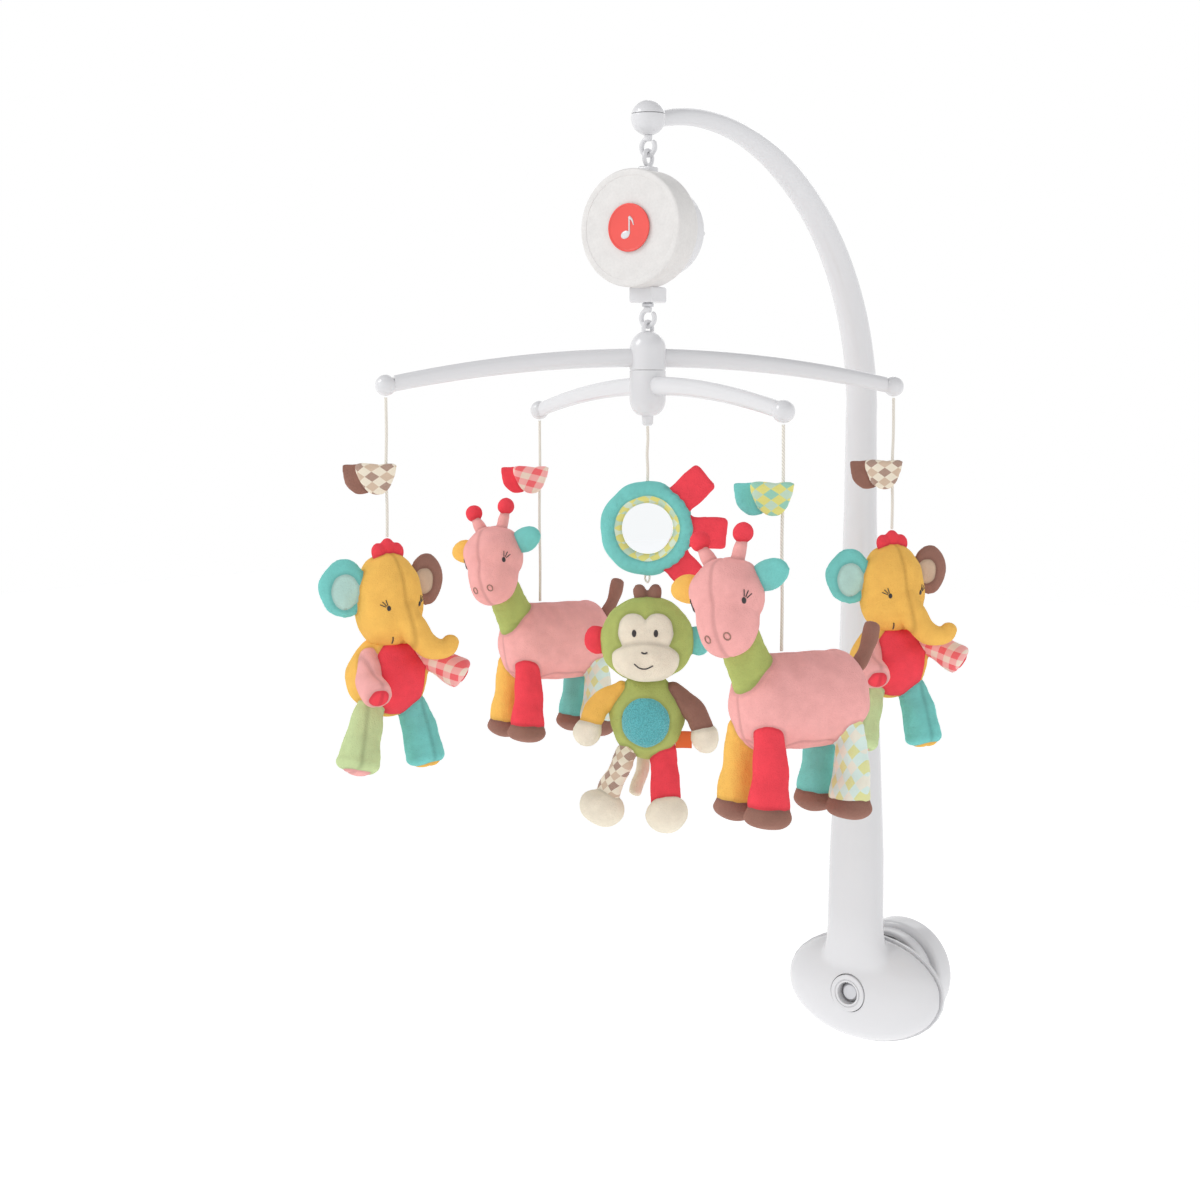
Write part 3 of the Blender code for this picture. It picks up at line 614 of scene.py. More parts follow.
class MOBILE_OT_stand(bpy.types.Operator):
    """Clamp dome and mast in one smooth casting, the curved arm and the end ball"""
    bl_idname = "mobile.stand"
    bl_label = "Stand"

    def execute(self, context):
        screw = middle("clamp_screw")
        half = half_size("clamp_shell")
        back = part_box("clamp_shell")[1][1]
        unselect()
        bpy.ops.mesh.primitive_uv_sphere_add(segments=96, ring_count=48, radius=1, location=(0, 0, screw.z),
                                             scale=(half.x * 1.02, 0.0305, half.z * 1.02))
        dome = added()
        freeze()
        bpy.ops.object.mode_set(mode="EDIT")
        bpy.ops.mesh.select_all(action="SELECT")
        bpy.ops.mesh.bisect(plane_co=(0, back, 0), plane_no=(0, 1, 0), use_fill=True, clear_outer=True)
        bpy.ops.object.mode_set(mode="OBJECT")
        unselect()
        levels = mast_levels()
        height, wide, front, rear = levels[0]
        bpy.ops.mesh.primitive_circle_add(vertices=64, radius=1, fill_type="NGON",
                                          location=(0, -(front + rear) / 2, screw.z + height))
        mast = added()
        mast.scale = (wide, (front - rear) / 2, 1)
        freeze()
        bpy.ops.object.mode_set(mode="EDIT")
        bpy.ops.mesh.select_all(action="SELECT")
        for low, high in zip(levels, levels[1:]):
            shift = ((low[2] + low[3]) - (high[2] + high[3])) / 2
            centre = (0, -(high[2] + high[3]) / 2, screw.z + high[0])
            bpy.ops.mesh.extrude_region_move(TRANSFORM_OT_translate={"value": (0, shift, high[0] - low[0])})
            bpy.ops.transform.resize(value=(high[1] / low[1], (high[2] - high[3]) / (low[2] - low[3]), 1),
                                     center_override=centre)
        bpy.ops.object.mode_set(mode="OBJECT")
        tidy_mesh(mast)
        stand = join([dome, mast])
        apply_modifier(stand, "REMESH", mode="VOXEL", voxel_size=0.0012)
        apply_modifier(stand, "SMOOTH", factor=0.6, iterations=34)
        collar = half_size("clamp_collar").x
        unselect()
        bpy.ops.mesh.primitive_cylinder_add(vertices=96, radius=collar + 0.0006, depth=0.030,
                                            location=(0, -0.035, screw.z), rotation=(pi / 2, 0, 0))
        cutter = added()
        apply_modifier(stand, "BOOLEAN", operation="DIFFERENCE", object=cutter)
        bpy.data.objects.remove(cutter)
        settle(stand, "stand_casting")
        smooth(stand, radians(50))
        moulded(stand, "stand", "clamp_shell", "mast_lower")
        self.arm()
        self.ball()
        return {"FINISHED"}

    def arm(self):
        """The tapering tube from the mast's split, round the bend and out to the ball."""
        split = top("mast_lower") + 0.0004
        mast_y = middle("mast_lower").y
        end = Vector((0, middle("arm_hook").y + 0.0095, bottom("arm_ball") + 0.0105))
        straight, reach, lean = 0.175, 0.205, 0.0001
        start_bend = split + straight
        rise = top("mast_upper") - 0.0050 - start_bend
        path = [Vector((0, mast_y + lean - lean * i, split + straight * i / 8)) for i in range(9)]
        steps = 40
        for i in range(1, steps + 1):
            turn = pi / 2 * i / steps
            path.append(Vector((0, mast_y - reach * (1 - cos(turn)), start_bend + rise * sin(turn))))
        rest = path[-1]
        for i in range(1, 9):
            share = i / 8
            path.append(Vector((0, rest.y + (end.y - rest.y) * share,
                                rest.z + (end.z - rest.z) * share ** 2)))
        widths = ((0, 0.0143), (0.11, 0.0116), (0.175, 0.0109), (0.25, 0.0103), (0.38, 0.0084),
                  (0.43, 0.0067),
                  (0.475, 0.0059), (0.52, 0.0050), (0.60, 0.0045))
        radii = []
        travelled = 0
        for i, point in enumerate(path):
            travelled += (point - path[i - 1]).length if i else 0
            for a, b in zip(widths, widths[1:]):
                if a[0] <= travelled <= b[0]:
                    radii.append(a[1] + (b[1] - a[1]) * (travelled - a[0]) / (b[0] - a[0]))
                    break
            else:
                radii.append(widths[-1][1])
        moulded(rod("arm_tube", path, radii, 10), "stand", "mast_upper")

    def ball(self):
        """End ball of two moulded halves that meet at a fine seam."""
        radius = half_size("arm_ball").x
        centre = Vector((0, middle("arm_hook").y, bottom("arm_ball") + radius))
        seam = top("arm_ball") - centre.z
        arc = pi / 2
        turn = atan(seam / sqrt(radius ** 2 - seam ** 2))
        steps = 24
        lower = [(radius * cos(a), radius * sin(a)) for a in
                 [-arc + (turn + arc) * i / steps for i in range(steps + 1)]]
        lower[0] = (0, -radius)
        lip = 0.0004
        lower += [(radius * cos(turn) - lip, seam), (0, seam)]
        upper = [(0, seam + lip), (radius * cos(turn) - lip, seam + lip)]
        upper += [(radius * cos(a), radius * sin(a)) for a in
                  [turn + 0.05 + (arc - turn - 0.05) * i / steps for i in range(steps)]] + [(0, radius)]
        place = Matrix.Translation(centre)
        moulded(spun("arm_ball_lower", lower, place), "stand", "arm_ball")
        moulded(spun("arm_ball_upper", upper, place), "stand", "arm_ball_cap")


def c_hook(name, node, body, stem_top):
    """A moulded C-hook with a rounded open end and a collar above."""
    low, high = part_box(node)
    wire = 0.0015
    radius = (high[0] - low[0]) / 2 - 0.0014
    centre = Vector((0, middle(node).y, low[2] + 0.0014 + radius))
    steps = 36
    first, last = radians(46), radians(-268)
    points = []
    for i in range(steps + 1):
        turn = first + (last - first) * i / steps
        points.append(centre + Vector((radius * cos(turn), 0, radius * sin(turn))))
    radii = [wire] * (steps + 1)
    radii[0] = wire * 0.45
    radii[1] = wire * 0.85
    hook = rod(name, points, radii, 6)
    crown = centre.z + radius
    foot = spun(name + "_foot", rounded([(0, crown - wire), (0.0021, crown - wire), (0.0026, stem_top),
                                         (0, stem_top)],
                                        0.0005), Matrix.Translation((centre.x, centre.y, 0)), 32)
    hook = join([hook, foot])
    hook.name = hook.data.name = name
    return moulded(hook, body, node)


class MOBILE_OT_clamp(bpy.types.Operator):
    """Collar, screw, base, pads, pressure plate and knob"""
    bl_idname = "mobile.clamp"
    bl_label = "Clamp"

    def execute(self, context):
        screw = middle("clamp_screw")
        axis = Matrix.Translation((0, 0, screw.z))
        low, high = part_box("clamp_collar")
        outer = half_size("clamp_collar").x
        face, root = -low[1], -high[1]
        bore = 0.0080
        groove = 0.0007
        profile = rounded([(bore, root), (outer, root), (outer, face), (outer - 0.0032, face),
                           (outer - 0.0032, face - groove), (outer - 0.0040, face - groove),
                           (outer - 0.0040, face),
                           (bore, face), (bore, root)], 0.0006)
        moulded(spun("collar_ring", profile, axis @ FRONT), "stand", "clamp_collar")
        self.knob(axis)
        repaint(rubber(), "rail_pad", "pressure_pad")
        repaint(plastic(), "clamp_base")
        self.bolt(axis)
        return {"FINISHED"}

    def knob(self, axis):
        """Two turned discs: the pressure plate and the knob with its dished back."""
        low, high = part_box("pressure_plate")
        radius = half_size("pressure_plate").x
        hole = 0.0045
        plate = [(hole, low[1]), (radius, low[1]), (radius, high[1] - 0.001), (radius - 0.006, high[1]),
                 (hole, high[1]),
                 (hole, low[1])]
        moulded(spun("pressure_disc", rounded(plate, 0.0018), axis @ BACK), "clamp_plate",
              "pressure_plate")
        low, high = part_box("clamp_knob")
        radius = half_size("clamp_knob").x
        dish = 0.004
        knob = [(hole, low[1]), (radius, low[1]), (radius, high[1]), (radius * 0.78, high[1]),
                (radius * 0.70, high[1] - dish), (0.012, high[1] - dish), (0.010, high[1]), (hole, high[1]),
                (hole, low[1])]
        turned_knob = spun("knob_disc", rounded(knob, 0.0040, 6), axis @ BACK, 96)
        moulded(turned_knob, "clamp_knob", "clamp_knob")

    def bolt(self, axis):
        """Clamp screw with rolled threads and a domed head."""
        low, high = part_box("clamp_screw")
        start, end = -high[1], -low[1]
        pitch = 0.004
        core, crest = 0.0034, 0.0040
        profile = [(0, start), (core, start)]
        at = start + pitch / 2
        while at < 0.018 - pitch:
            profile += [(crest, at), (crest, at + pitch * 0.25), (core, at + pitch * 0.55)]
            at += pitch
        profile += [(core, 0.021), (0.0065, 0.021), (0.0065, end - 0.001), (0.0052, end), (0, end)]
        dress(spun("screw_thread", profile, axis @ FRONT, 32), "stand", "steel", metal("steel"),
              "clamp_screw")


# --- Music box -------------------------------------------------------------------------------
class MOBILE_OT_music_box(bpy.types.Operator):
    """Drum, badge, rear cover, neck, hooks, key, spindle and the movement inside"""
    bl_idname = "mobile.music_box"
    bl_label = "Music box"

    def execute(self, context):
        key = JOINTS["key_wind"]
        centre = Vector(key["pos_m"])
        yaw = atan(key["axis"][0] / -key["axis"][1]) if key["axis"][1] else 0
        place = Matrix.Translation(centre) @ Matrix.Rotation(yaw, 4, "Z") @ FRONT
        radius = half_size("box_front_shell").z
        depth = 0.021
        wall = 0.0022
        drum = [(0, depth - 0.0003), (radius * 0.88, depth - 0.0003), (radius * 0.885, depth),
                (radius, depth), (radius, 0),
                (radius - wall, 0), (radius - wall, depth - 0.0025), (0, depth - 0.0025)]
        shell = spun("drum_shell", rounded(drum, 0.0017, 6), place, 128)
        dress(shell, "music_box", "textured_white_plastic", stone_face(), "box_front_shell")
        self.badge(place, depth)
        cover_radius = 0.027
        cover_depth = 0.022
        cover = [(radius - wall - 0.0003, 0.002), (radius - wall - 0.0003, 0), (cover_radius, 0),
                 (cover_radius, -cover_depth), (0.0075, -cover_depth), (0.0070, -cover_depth - 0.0006),
                 (0.0045, -cover_depth - 0.0006), (0.0045, 0.002 - cover_depth),
                 (cover_radius - 0.002, 0.002 - cover_depth),
                 (cover_radius - 0.002, 0.002), (radius - wall - 0.0003, 0.002)]
        moulded(spun("rear_cover", rounded(cover, 0.0020, 5), place, 96), "music_box",
              "box_rear_shell")
        self.key(place)
        self.lugs(yaw, centre)
        repaint(metal("steel"), "box_screw_left", "box_screw_right", "tone_comb")
        repaint(metal("brass"), "movement_plate", "spring_barrel", "pin_cylinder", "governor_fan")
        c_hook("top_hook", "arm_hook", "stand", bottom("arm_ball") + 0.0002)
        c_hook("lower_hook", "spindle_hook", "spindle", bottom("output_spindle") - 0.0002)
        low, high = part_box("output_spindle")
        axis = Matrix.Translation((HANG.x, HANG.y, 0))
        collar = [(0, low[2]), (0.0035, low[2]), (0.0035, low[2] + 0.0021), (0.0026, low[2] + 0.0021),
                  (0.0026, high[2]),
                  (0, high[2])]
        dress(spun("spindle_collar", rounded(collar, 0.0004), axis, 48), "spindle", "steel", metal("steel"),
              "output_spindle")
        return {"FINISHED"}

    def badge(self, place, depth):
        """Plain round badge with a raised rim and a simple note."""
        radius = 0.0143
        base = depth + 0.0002
        profile = [(0, base), (radius, base), (radius, base + 0.0012), (radius - 0.0010, base + 0.0012),
                   (radius - 0.0013, base + 0.0009), (0, base + 0.0009)]
        disc = spun("badge_disc", rounded(profile, 0.0003), place, 96)
        dress(disc, "music_box", "coral_badge", badge_finish(), "box_badge")
        raised = base + 0.0010
        unselect()
        bpy.ops.mesh.primitive_uv_sphere_add(segments=32, ring_count=16, radius=1,
                                             location=(-0.0022, -0.0042, raised),
                                             rotation=(0, 0, radians(20)), scale=(0.0031, 0.0023, 0.0006))
        head = added()
        freeze()
        stem = rod("stem", [(0.0006, -0.0038, raised), (0.0006, 0.0062, raised)], [0.0005, 0.0005], 4)
        flag = rod("flag", along([(0.0006, 0.0062, raised), (0.0026, 0.0042, raised),
                                  (0.0036, 0.0012, raised)], 12),
                   [0.0009 - 0.00006 * i for i in range(12)], 4)
        note = join([head, stem, flag])
        settle(note, "badge_note", place)
        smooth(note)
        moulded(note, "music_box")

    def key(self, place):
        """Winding key with two hollowed wings."""
        shaft = spun("key", rounded([(0, -0.0065), (0.0032, -0.0065), (0.0032, -0.0245), (0.0048, -0.0245),
                                     (0.0048, -0.0405), (0.0030, -0.0420), (0, -0.0420)], 0.0008), Matrix(),
                     48)
        wings = [shaft]
        for side in (-1, 1):
            unselect()
            bpy.ops.mesh.primitive_torus_add(major_segments=48, minor_segments=16, major_radius=0.0060,
                                             minor_radius=0.0019, location=(side * 0.0095, 0, -0.0365),
                                             rotation=(pi / 2, 0, 0))
            ear = added()
            freeze()
            wings.append(ear)
        key = join(wings)
        settle(key, "key_grip", place)
        smooth(key)
        moulded(key, "winding_key", "winding_key")

    def lugs(self, yaw, centre):
        """Rounded top lug with its eye, and the neck block under the drum."""
        turn = Matrix.Translation((HANG.x, HANG.y, 0)) @ Matrix.Rotation(yaw, 4, "Z")
        eye = Vector((0, 0, top("box_eye") - EYE_RADIUS))
        ring = eye_loop(eye)
        drum_top = centre.z + 0.035
        lug = self.block("lug", Vector((0.0045, 0.0052, 0)), drum_top - 0.0012, eye.z - 0.0050)
        loop = join([lug, ring])
        settle(loop, "top_lug", turn)
        smooth(loop)
        moulded(loop, "music_box", "box_eye")
        neck = self.block("neck_block", Vector((0.0085, 0.0085, 0)), bottom("box_neck"), centre.z - 0.0340)
        settle(neck, "neck_block", turn)
        smooth(neck)
        moulded(neck, "music_box", "box_neck")

    def block(self, name, half, low, high):
        """A bevelled block."""
        unselect()
        bpy.ops.mesh.primitive_cube_add(size=1, location=(0, 0, (low + high) / 2),
                                        scale=(half.x * 2, half.y * 2, high - low))
        obj = added()
        freeze()
        apply_modifier(obj, "BEVEL", width=0.0014, segments=5, limit_method="ANGLE")
        obj.name = name
        return obj


# --- Cross -----------------------------------------------------------------------------------
class MOBILE_OT_cross(bpy.types.Operator):
    """Hub in two halves, four arched arms and their tip balls"""
    bl_idname = "mobile.cross"
    bl_label = "Cross"

    def execute(self, context):
        axis = Matrix.Translation((HANG.x, HANG.y, 0))
        self.hub(axis)
        for name in ARMS:
            self.arm(name)
        return {"FINISHED"}

    def hub(self, axis):
        low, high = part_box("hub_lower")
        seam = high[2]
        radius = half_size("hub_lower").x
        nib = low[2]
        shoulder = nib + 0.006
        lower = [(0, seam), (radius - 0.0003, seam), (radius, seam - 0.0004)]
        steps = 14
        for i in range(steps + 1):
            turn = pi / 2 * i / steps
            lower.append((0.0036 + (radius - 0.0036) * cos(turn), shoulder + 0.0105 - 0.0105 * sin(turn)))
        lower += [(0.0033, nib + 0.0012), (0.0022, nib), (0, nib)]
        moulded(spun("hub_cup", lower, axis), "cross", "hub_lower")
        crown = seam + 0.024
        upper = [(0, seam + 0.0003), (radius - 0.0003, seam + 0.0003), (radius, seam + 0.0007)]
        for i in range(steps + 1):
            turn = pi / 2 * i / steps
            upper.append((radius * cos(turn) if i < steps else 0, crown - 0.0115 + 0.0115 * sin(turn)))
        cap = spun("hub_cap", upper, axis)
        cap = join([cap, eye_loop((HANG.x, HANG.y, top("hub_upper") - EYE_RADIUS))])
        cap.name = cap.data.name = "hub_cap"
        moulded(cap, "cross", "hub_upper")

    def arm(self, name):
        """An arched bar of rounded section, made along X and turned to its direction."""
        tip = middle("tip_" + name)
        out = Vector((tip.x - HANG.x, tip.y - HANG.y, 0))
        reach = out.length
        turn = Matrix.Rotation(out.xy.angle_signed(Vector((1, 0))), 4, "Z")
        ball = half_size("tip_" + name).x
        drop = 0.017 if "elephant" in name else 0.015
        start = half_size("hub_lower").x - 0.0006
        steps = 28
        stations = []
        for i in range(steps + 1):
            share = i / steps
            x = start + (reach - ball * 0.8 - start) * share
            stations.append((x, drop * (1 - (x / reach) ** 2), 0.0037 - 0.0003 * share,
                             0.0056 - 0.0008 * share))
        x, z, wide, high = stations[0]
        unselect()
        bpy.ops.mesh.primitive_circle_add(vertices=40, radius=1, fill_type="NGON", location=(x, 0, z),
                                          rotation=(0, pi / 2, 0))
        bar = added()
        bar.scale = (high, wide, 1)
        freeze()
        bpy.ops.object.mode_set(mode="EDIT")
        bpy.ops.mesh.select_all(action="SELECT")
        for before, after in zip(stations, stations[1:]):
            bpy.ops.mesh.extrude_region_move(
                TRANSFORM_OT_translate={"value": (after[0] - before[0], 0, after[1] - before[1])})
            bpy.ops.transform.resize(value=(1, after[2] / before[2], after[3] / before[3]),
                                     center_override=(after[0], 0, after[1]))
        bpy.ops.object.mode_set(mode="OBJECT")
        tidy_mesh(bar)
        settle(bar, "bar_" + name, Matrix.Translation((HANG.x, HANG.y, tip.z)) @ turn)
        smooth(bar)
        moulded(bar, "cross", "arm_" + name)
        steps = 20
        profile = [(ball * sin(pi * i / steps), -ball * cos(pi * i / steps)) for i in range(steps + 1)]
        profile[0] = (0.0012, -ball * 0.985)
        profile = [(0, -ball * 0.93), (0.0010, -ball * 0.95)] + profile[1:-1] + [(0, ball)]
        end = spun("ball_" + name, profile, Matrix.Translation(tip), 48)
        moulded(end, "cross", "tip_" + name)


# --- Strings ---------------------------------------------------------------------------------
def string(name, node, body, low=None):
    """A cord that hangs plumb through its node, with a faint sway."""
    below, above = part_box(node)
    start, end = above[2], below[2] if low is None else low
    x, y = middle(node).x, middle(node).y
    unselect()
    bpy.ops.curve.primitive_nurbs_path_add()
    obj = added()
    obj.location = (0, 0, 0)
    curve = obj.data
    curve.splines.clear()
    spline = curve.splines.new("POLY")
    count = 24
    spline.points.add(count - 1)
    sway = 0.00025
    for i, knot in enumerate(spline.points):
        share = i / (count - 1)
        drift = sway * sin(pi * share) * sin(9 * share)
        knot.co = (x + drift, y + drift * 0.6, start + (end - start) * share, 1)
    curve.dimensions = "3D"
    curve.bevel_depth = half_size(node).x
    curve.bevel_resolution = 4
    curve.use_fill_caps = True
    obj.name = curve.name = name
    dress(obj, body, "off_white_cord", cord_finish(), node)


class MOBILE_OT_strings(bpy.types.Operator):
    """Five plumb cords, and the stitched loop between the sun and the monkey"""
    bl_idname = "mobile.strings"
    bl_label = "Strings"

    def execute(self, context):
        for name in ARMS:
            string("cord_" + name, "string_" + name, "hang_" + name)
        string("cord_centre", "string_centre", "hang_centre")
        low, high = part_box("string_monkey")
        centre = middle("string_monkey")
        points = []
        steps = 24
        for i in range(steps):
            turn = 2 * pi * i / steps
            points.append(centre + Vector((0.0017 * cos(turn), 0.0003 * sin(turn * 2),
                                           (high[2] - low[2]) * 0.62 * sin(turn))))
        loop = rod("monkey_loop", points, [0.00065] * steps, 4, True)
        dress(loop, "sun", "off_white_cord", cord_finish(), "string_monkey")
        return {"FINISHED"}


# --- Plush -----------------------------------------------------------------------------------
BALL_TOP = bottom("arm_ball") + half_size("arm_ball").x      # height of the end ball's centre
TOY_YAW = {"elephant_left": radians(72), "elephant_right": radians(55), "giraffe_front": radians(-23),
           "giraffe_back": radians(-23), "monkey": radians(32)}
TOY_DROP = {"elephant": 0.250, "giraffe": 0.3055, "monkey": 0.2795}
GIRAFFE_RISE = 0.0705


def toy_place(name):
    """Where a toy's own frame stands: string on its Z axis, top at 0, facing -Y."""
    over = HANG if name == "monkey" else middle("tip_" + name)
    return (Matrix.Translation((over.x, over.y, BALL_TOP - TOY_DROP[name.split("_")[0]]))
            @ Matrix.Rotation(TOY_YAW[name], 4, "Z"))


def egg_distance(points, centre, radii, turn):
    """Distance of each point from an ellipsoid's skin, near enough close to it."""
    local = (points - centre) @ turn
    near = np.linalg.norm(local / radii, axis=1)
    slope = np.linalg.norm(local / radii ** 2, axis=1)
    return near * (near - 1) / np.maximum(slope, 1e-9)


def aimed(way):
    """Turn that takes Z to the given way."""
    return Vector(way).normalized().to_track_quat("Z", "Y").to_matrix().to_4x4()


class Plush:
    """A stuffed piece: parts grown from eggs and limbs into one skin, with panels let into it."""

    def __init__(self, name, **parts):
        self.name = name
        self.parts = []
        for label, material in parts.items():
            self.part(label, material)
        self.eggs = []
        self.panels = []
        self.lines = []
        self.hoops = []
        self.slabs = []

    def part(self, label, material):
        """Add a part in a given material, or in velour where a colour is named."""
        self.parts.append((label, velour(material) if isinstance(material, str) else material))

    def number(self, label):
        return [part[0] for part in self.parts].index(label)

    def egg(self, label, centre, radii, turn=Matrix()):
        self.eggs.append((self.number(label), Vector(centre), Vector(radii), turn))

    def slab(self, label, centre, half, turn=Matrix(), round_edge=False):
        """A flat stuffed shape, a half-disc if round_edge, that the smoothing turns soft."""
        self.slabs.append((self.number(label), Vector(centre), Vector(half), turn, round_edge))

    def limb(self, label, path, radii, flat=1.0, blunt=0.5):
        """Beads along a smooth path, the last one blunt like a sewn-in sole."""
        total = sum((Vector(b) - Vector(a)).length for a, b in zip(path, path[1:]))
        count = max(5, int(total / (min(radii) * 0.45)))
        points = along(path, count)
        steps = [i / (count - 1) * (len(radii) - 1) for i in range(count)]
        for i, (point, step) in enumerate(zip(points, steps)):
            k = min(int(step), len(radii) - 2)
            radius = radii[k] + (radii[k + 1] - radii[k]) * (step - k)
            way = points[min(i + 1, count - 1)] - points[max(i - 1, 0)]
            reach = radius * (blunt if i == count - 1 else 0.8)
            self.egg(label, point, (radius, radius * flat, reach), aimed(way))

    def panel(self, label, material, hosts, centre, radii, turn=Matrix()):
        """A piece let into its hosts where an egg covers them; one label may take several eggs."""
        if label not in [part[0] for part in self.parts]:
            self.part(label, material)
            self.panels.append((self.number(label), [self.number(host) for host in hosts], []))
        self.panels[-1][2].append((np.array(centre), np.array(radii), np.array(turn.to_3x3())))

    def line(self, host, point, normal):
        """A seam in a plane across one part."""
        self.lines.append((self.number(host), Vector(point), Vector(normal).normalized()))

    def grow(self):
        unselect()
        bpy.ops.mesh.primitive_plane_add(size=0.01)
        obj = added()
        bpy.ops.object.mode_set(mode="EDIT")
        bpy.ops.mesh.select_all(action="SELECT")
        bpy.ops.mesh.delete(type="VERT")
        for _, centre, radii, turn in self.eggs:
            large = max(radii) > 0.0125
            bpy.ops.mesh.primitive_uv_sphere_add(segments=28 if large else 12,
                                                 ring_count=16 if large else 7,
                                                 radius=1, location=centre,
                                                 rotation=turn.to_euler(), scale=radii)
        for major, minor in self.hoops:
            bpy.ops.mesh.primitive_torus_add(major_segments=72, minor_segments=14, major_radius=major,
                                             minor_radius=minor, rotation=(pi / 2, 0, 0))
        bpy.ops.object.mode_set(mode="OBJECT")
        obj = join([obj] + [self.flat(*slab[1:]) for slab in self.slabs])
        apply_modifier(obj, "REMESH", mode="VOXEL", voxel_size=sizes().voxel)
        apply_modifier(obj, "SMOOTH", factor=0.5, iterations=7)
        return obj

    def flat(self, centre, half, turn, round_edge):
        """Core of one slab: a box, or a disc with its upper half cut off."""
        unselect()
        if round_edge:
            bpy.ops.mesh.primitive_cylinder_add(vertices=48, radius=1, depth=2)
            core = added()
            core.data.transform(Matrix.Rotation(pi / 2, 4, "X"))
            bpy.ops.object.mode_set(mode="EDIT")
            bpy.ops.mesh.select_all(action="SELECT")
            bpy.ops.mesh.bisect(plane_co=(0, 0, 0), plane_no=(0, 0, 1), use_fill=True, clear_outer=True)
            bpy.ops.object.mode_set(mode="OBJECT")
        else:
            bpy.ops.mesh.primitive_cube_add(size=2)
            core = added()
        core.data.transform(Matrix.Diagonal((*half, 1)))
        if not round_edge:
            apply_modifier(core, "BEVEL", width=half.y * 0.95, segments=4)
        core.data.transform(Matrix.Translation(centre) @ turn)
        return core

    def read(self, items, field, width=3):
        values = np.empty(len(items) * width, dtype=np.float64 if field != "vertices" else np.int64)
        items.foreach_get(field, values)
        return values.reshape(-1, width)

    def sort(self, points):
        """Part number of each point, and its distance from the nearest seam."""
        reach = np.full((len(self.parts), len(points)), 1.0)
        for number, centre, radii, turn in self.eggs:
            distance = egg_distance(points, np.array(centre), np.array(radii), np.array(turn.to_3x3()))
            reach[number] = np.minimum(reach[number], distance)
        for number, centre, half, turn, round_edge in self.slabs:
            local = (points - np.array(centre)) @ np.array(turn.to_3x3())
            over = np.abs(local) - np.array(half)
            if round_edge:
                wide, _, high = half
                rim = (np.hypot(local[:, 0] / wide, local[:, 2] / high) - 1) * min(wide, high)
                over = np.stack((rim, over[:, 1], local[:, 2]), axis=1)
            distance = np.linalg.norm(np.maximum(over, 0), axis=1) + np.minimum(over.max(axis=1), 0)
            reach[number] = np.minimum(reach[number], distance)
        ranked = np.sort(reach, axis=0)
        label, margin = np.argmin(reach, axis=0), ranked[1] - ranked[0]
        for host, point, normal in self.lines:
            gap = np.abs((points - np.array(point)) @ np.array(normal))
            margin = np.where(label == host, np.minimum(margin, gap), margin)
        base = label.copy()
        for number, hosts, eggs in self.panels:
            distance = np.min([egg_distance(points, *shape) for shape in eggs], axis=0)
            inside = np.isin(base, hosts)
            margin = np.where(inside, np.minimum(margin, np.abs(distance)), margin)
            label = np.where(inside & (distance < 0), number, label)
        return label, margin

    def sew(self):
        """Grow the skin, colour its parts and press its seams in."""
        obj = self.grow()
        mesh = obj.data
        faces = self.read(mesh.polygons, "center")
        label, _ = self.sort(faces)
        points = self.read(mesh.vertices, "co")
        edges = self.read(mesh.edges, "vertices", 2)
        loops = self.read(mesh.loops, "edge_index", 1).astype(np.int64).ravel()
        sides = self.read(mesh.polygons, "loop_total", 1).astype(np.int64).ravel()
        owner = np.repeat(label, sides)
        lowest, highest = np.full(len(edges), 999), np.full(len(edges), -1)
        np.minimum.at(lowest, loops, owner)
        np.maximum.at(highest, loops, owner)
        rim = edges[lowest != highest]
        for _ in range(6):
            total, count = np.zeros_like(points), np.zeros(len(points))
            for a, b in ((0, 1), (1, 0)):
                np.add.at(total, rim[:, a], points[rim[:, b]])
                np.add.at(count, rim[:, a], 1)
            through = count == 2
            points[through] = points[through] * 0.5 + total[through] / count[through, None] * 0.5
        _, margin = self.sort(points)
        seam = np.clip(1 - margin / (2 * sizes().seam_width), 0, 1)
        seam = seam * seam * (3 - 2 * seam)
        normals = self.read(mesh.vertices, "normal")
        wave = (np.sin(points @ np.array((310, 140, 220))) + np.sin(points @ np.array((-170, 260,
                                                                                       330)) + 1.3)
                + np.sin(points @ np.array((90, -350, 240)) + 2.1))
        stuffing, puff = 0.00022, 0.00035
        swell = puff * np.clip(margin / 0.006, 0, 1) - sizes().seam_depth * seam + stuffing * wave
        points += normals * swell[:, None]
        mesh.vertices.foreach_set("co", points.ravel())
        # The seam mask is also stored for the velour, which paints shade into its colour along the seam
        # grooves.
        mark = mesh.attributes.new("seam", "FLOAT", "POINT")
        mark.data.foreach_set("value", seam)
        mesh.materials.clear()
        for _, material in self.parts:
            mesh.materials.append(material)
        mesh.polygons.foreach_set("material_index", label.astype(np.int32))
        mesh.update()
        lone(obj)
        bpy.ops.object.shade_smooth()
        self.skin = BVHTree.FromPolygons([tuple(p) for p in points],
                                         [tuple(f.vertices) for f in mesh.polygons])
        self.obj = obj
        return self

    def touch(self, start, way):
        """First point of the skin from start along way, and its normal."""
        way = Vector(way).normalized()
        place, normal, _, _ = self.skin.ray_cast(Vector(start), way)
        if place is None:
            raise RuntimeError(f"{self.name}: no skin under a stitch")
        return place, normal

    def finish(self, place, body, slot, nodes, fill=0.85):
        settle(self.obj, self.name, place)
        dress(self.obj, body, slot, None, *nodes)


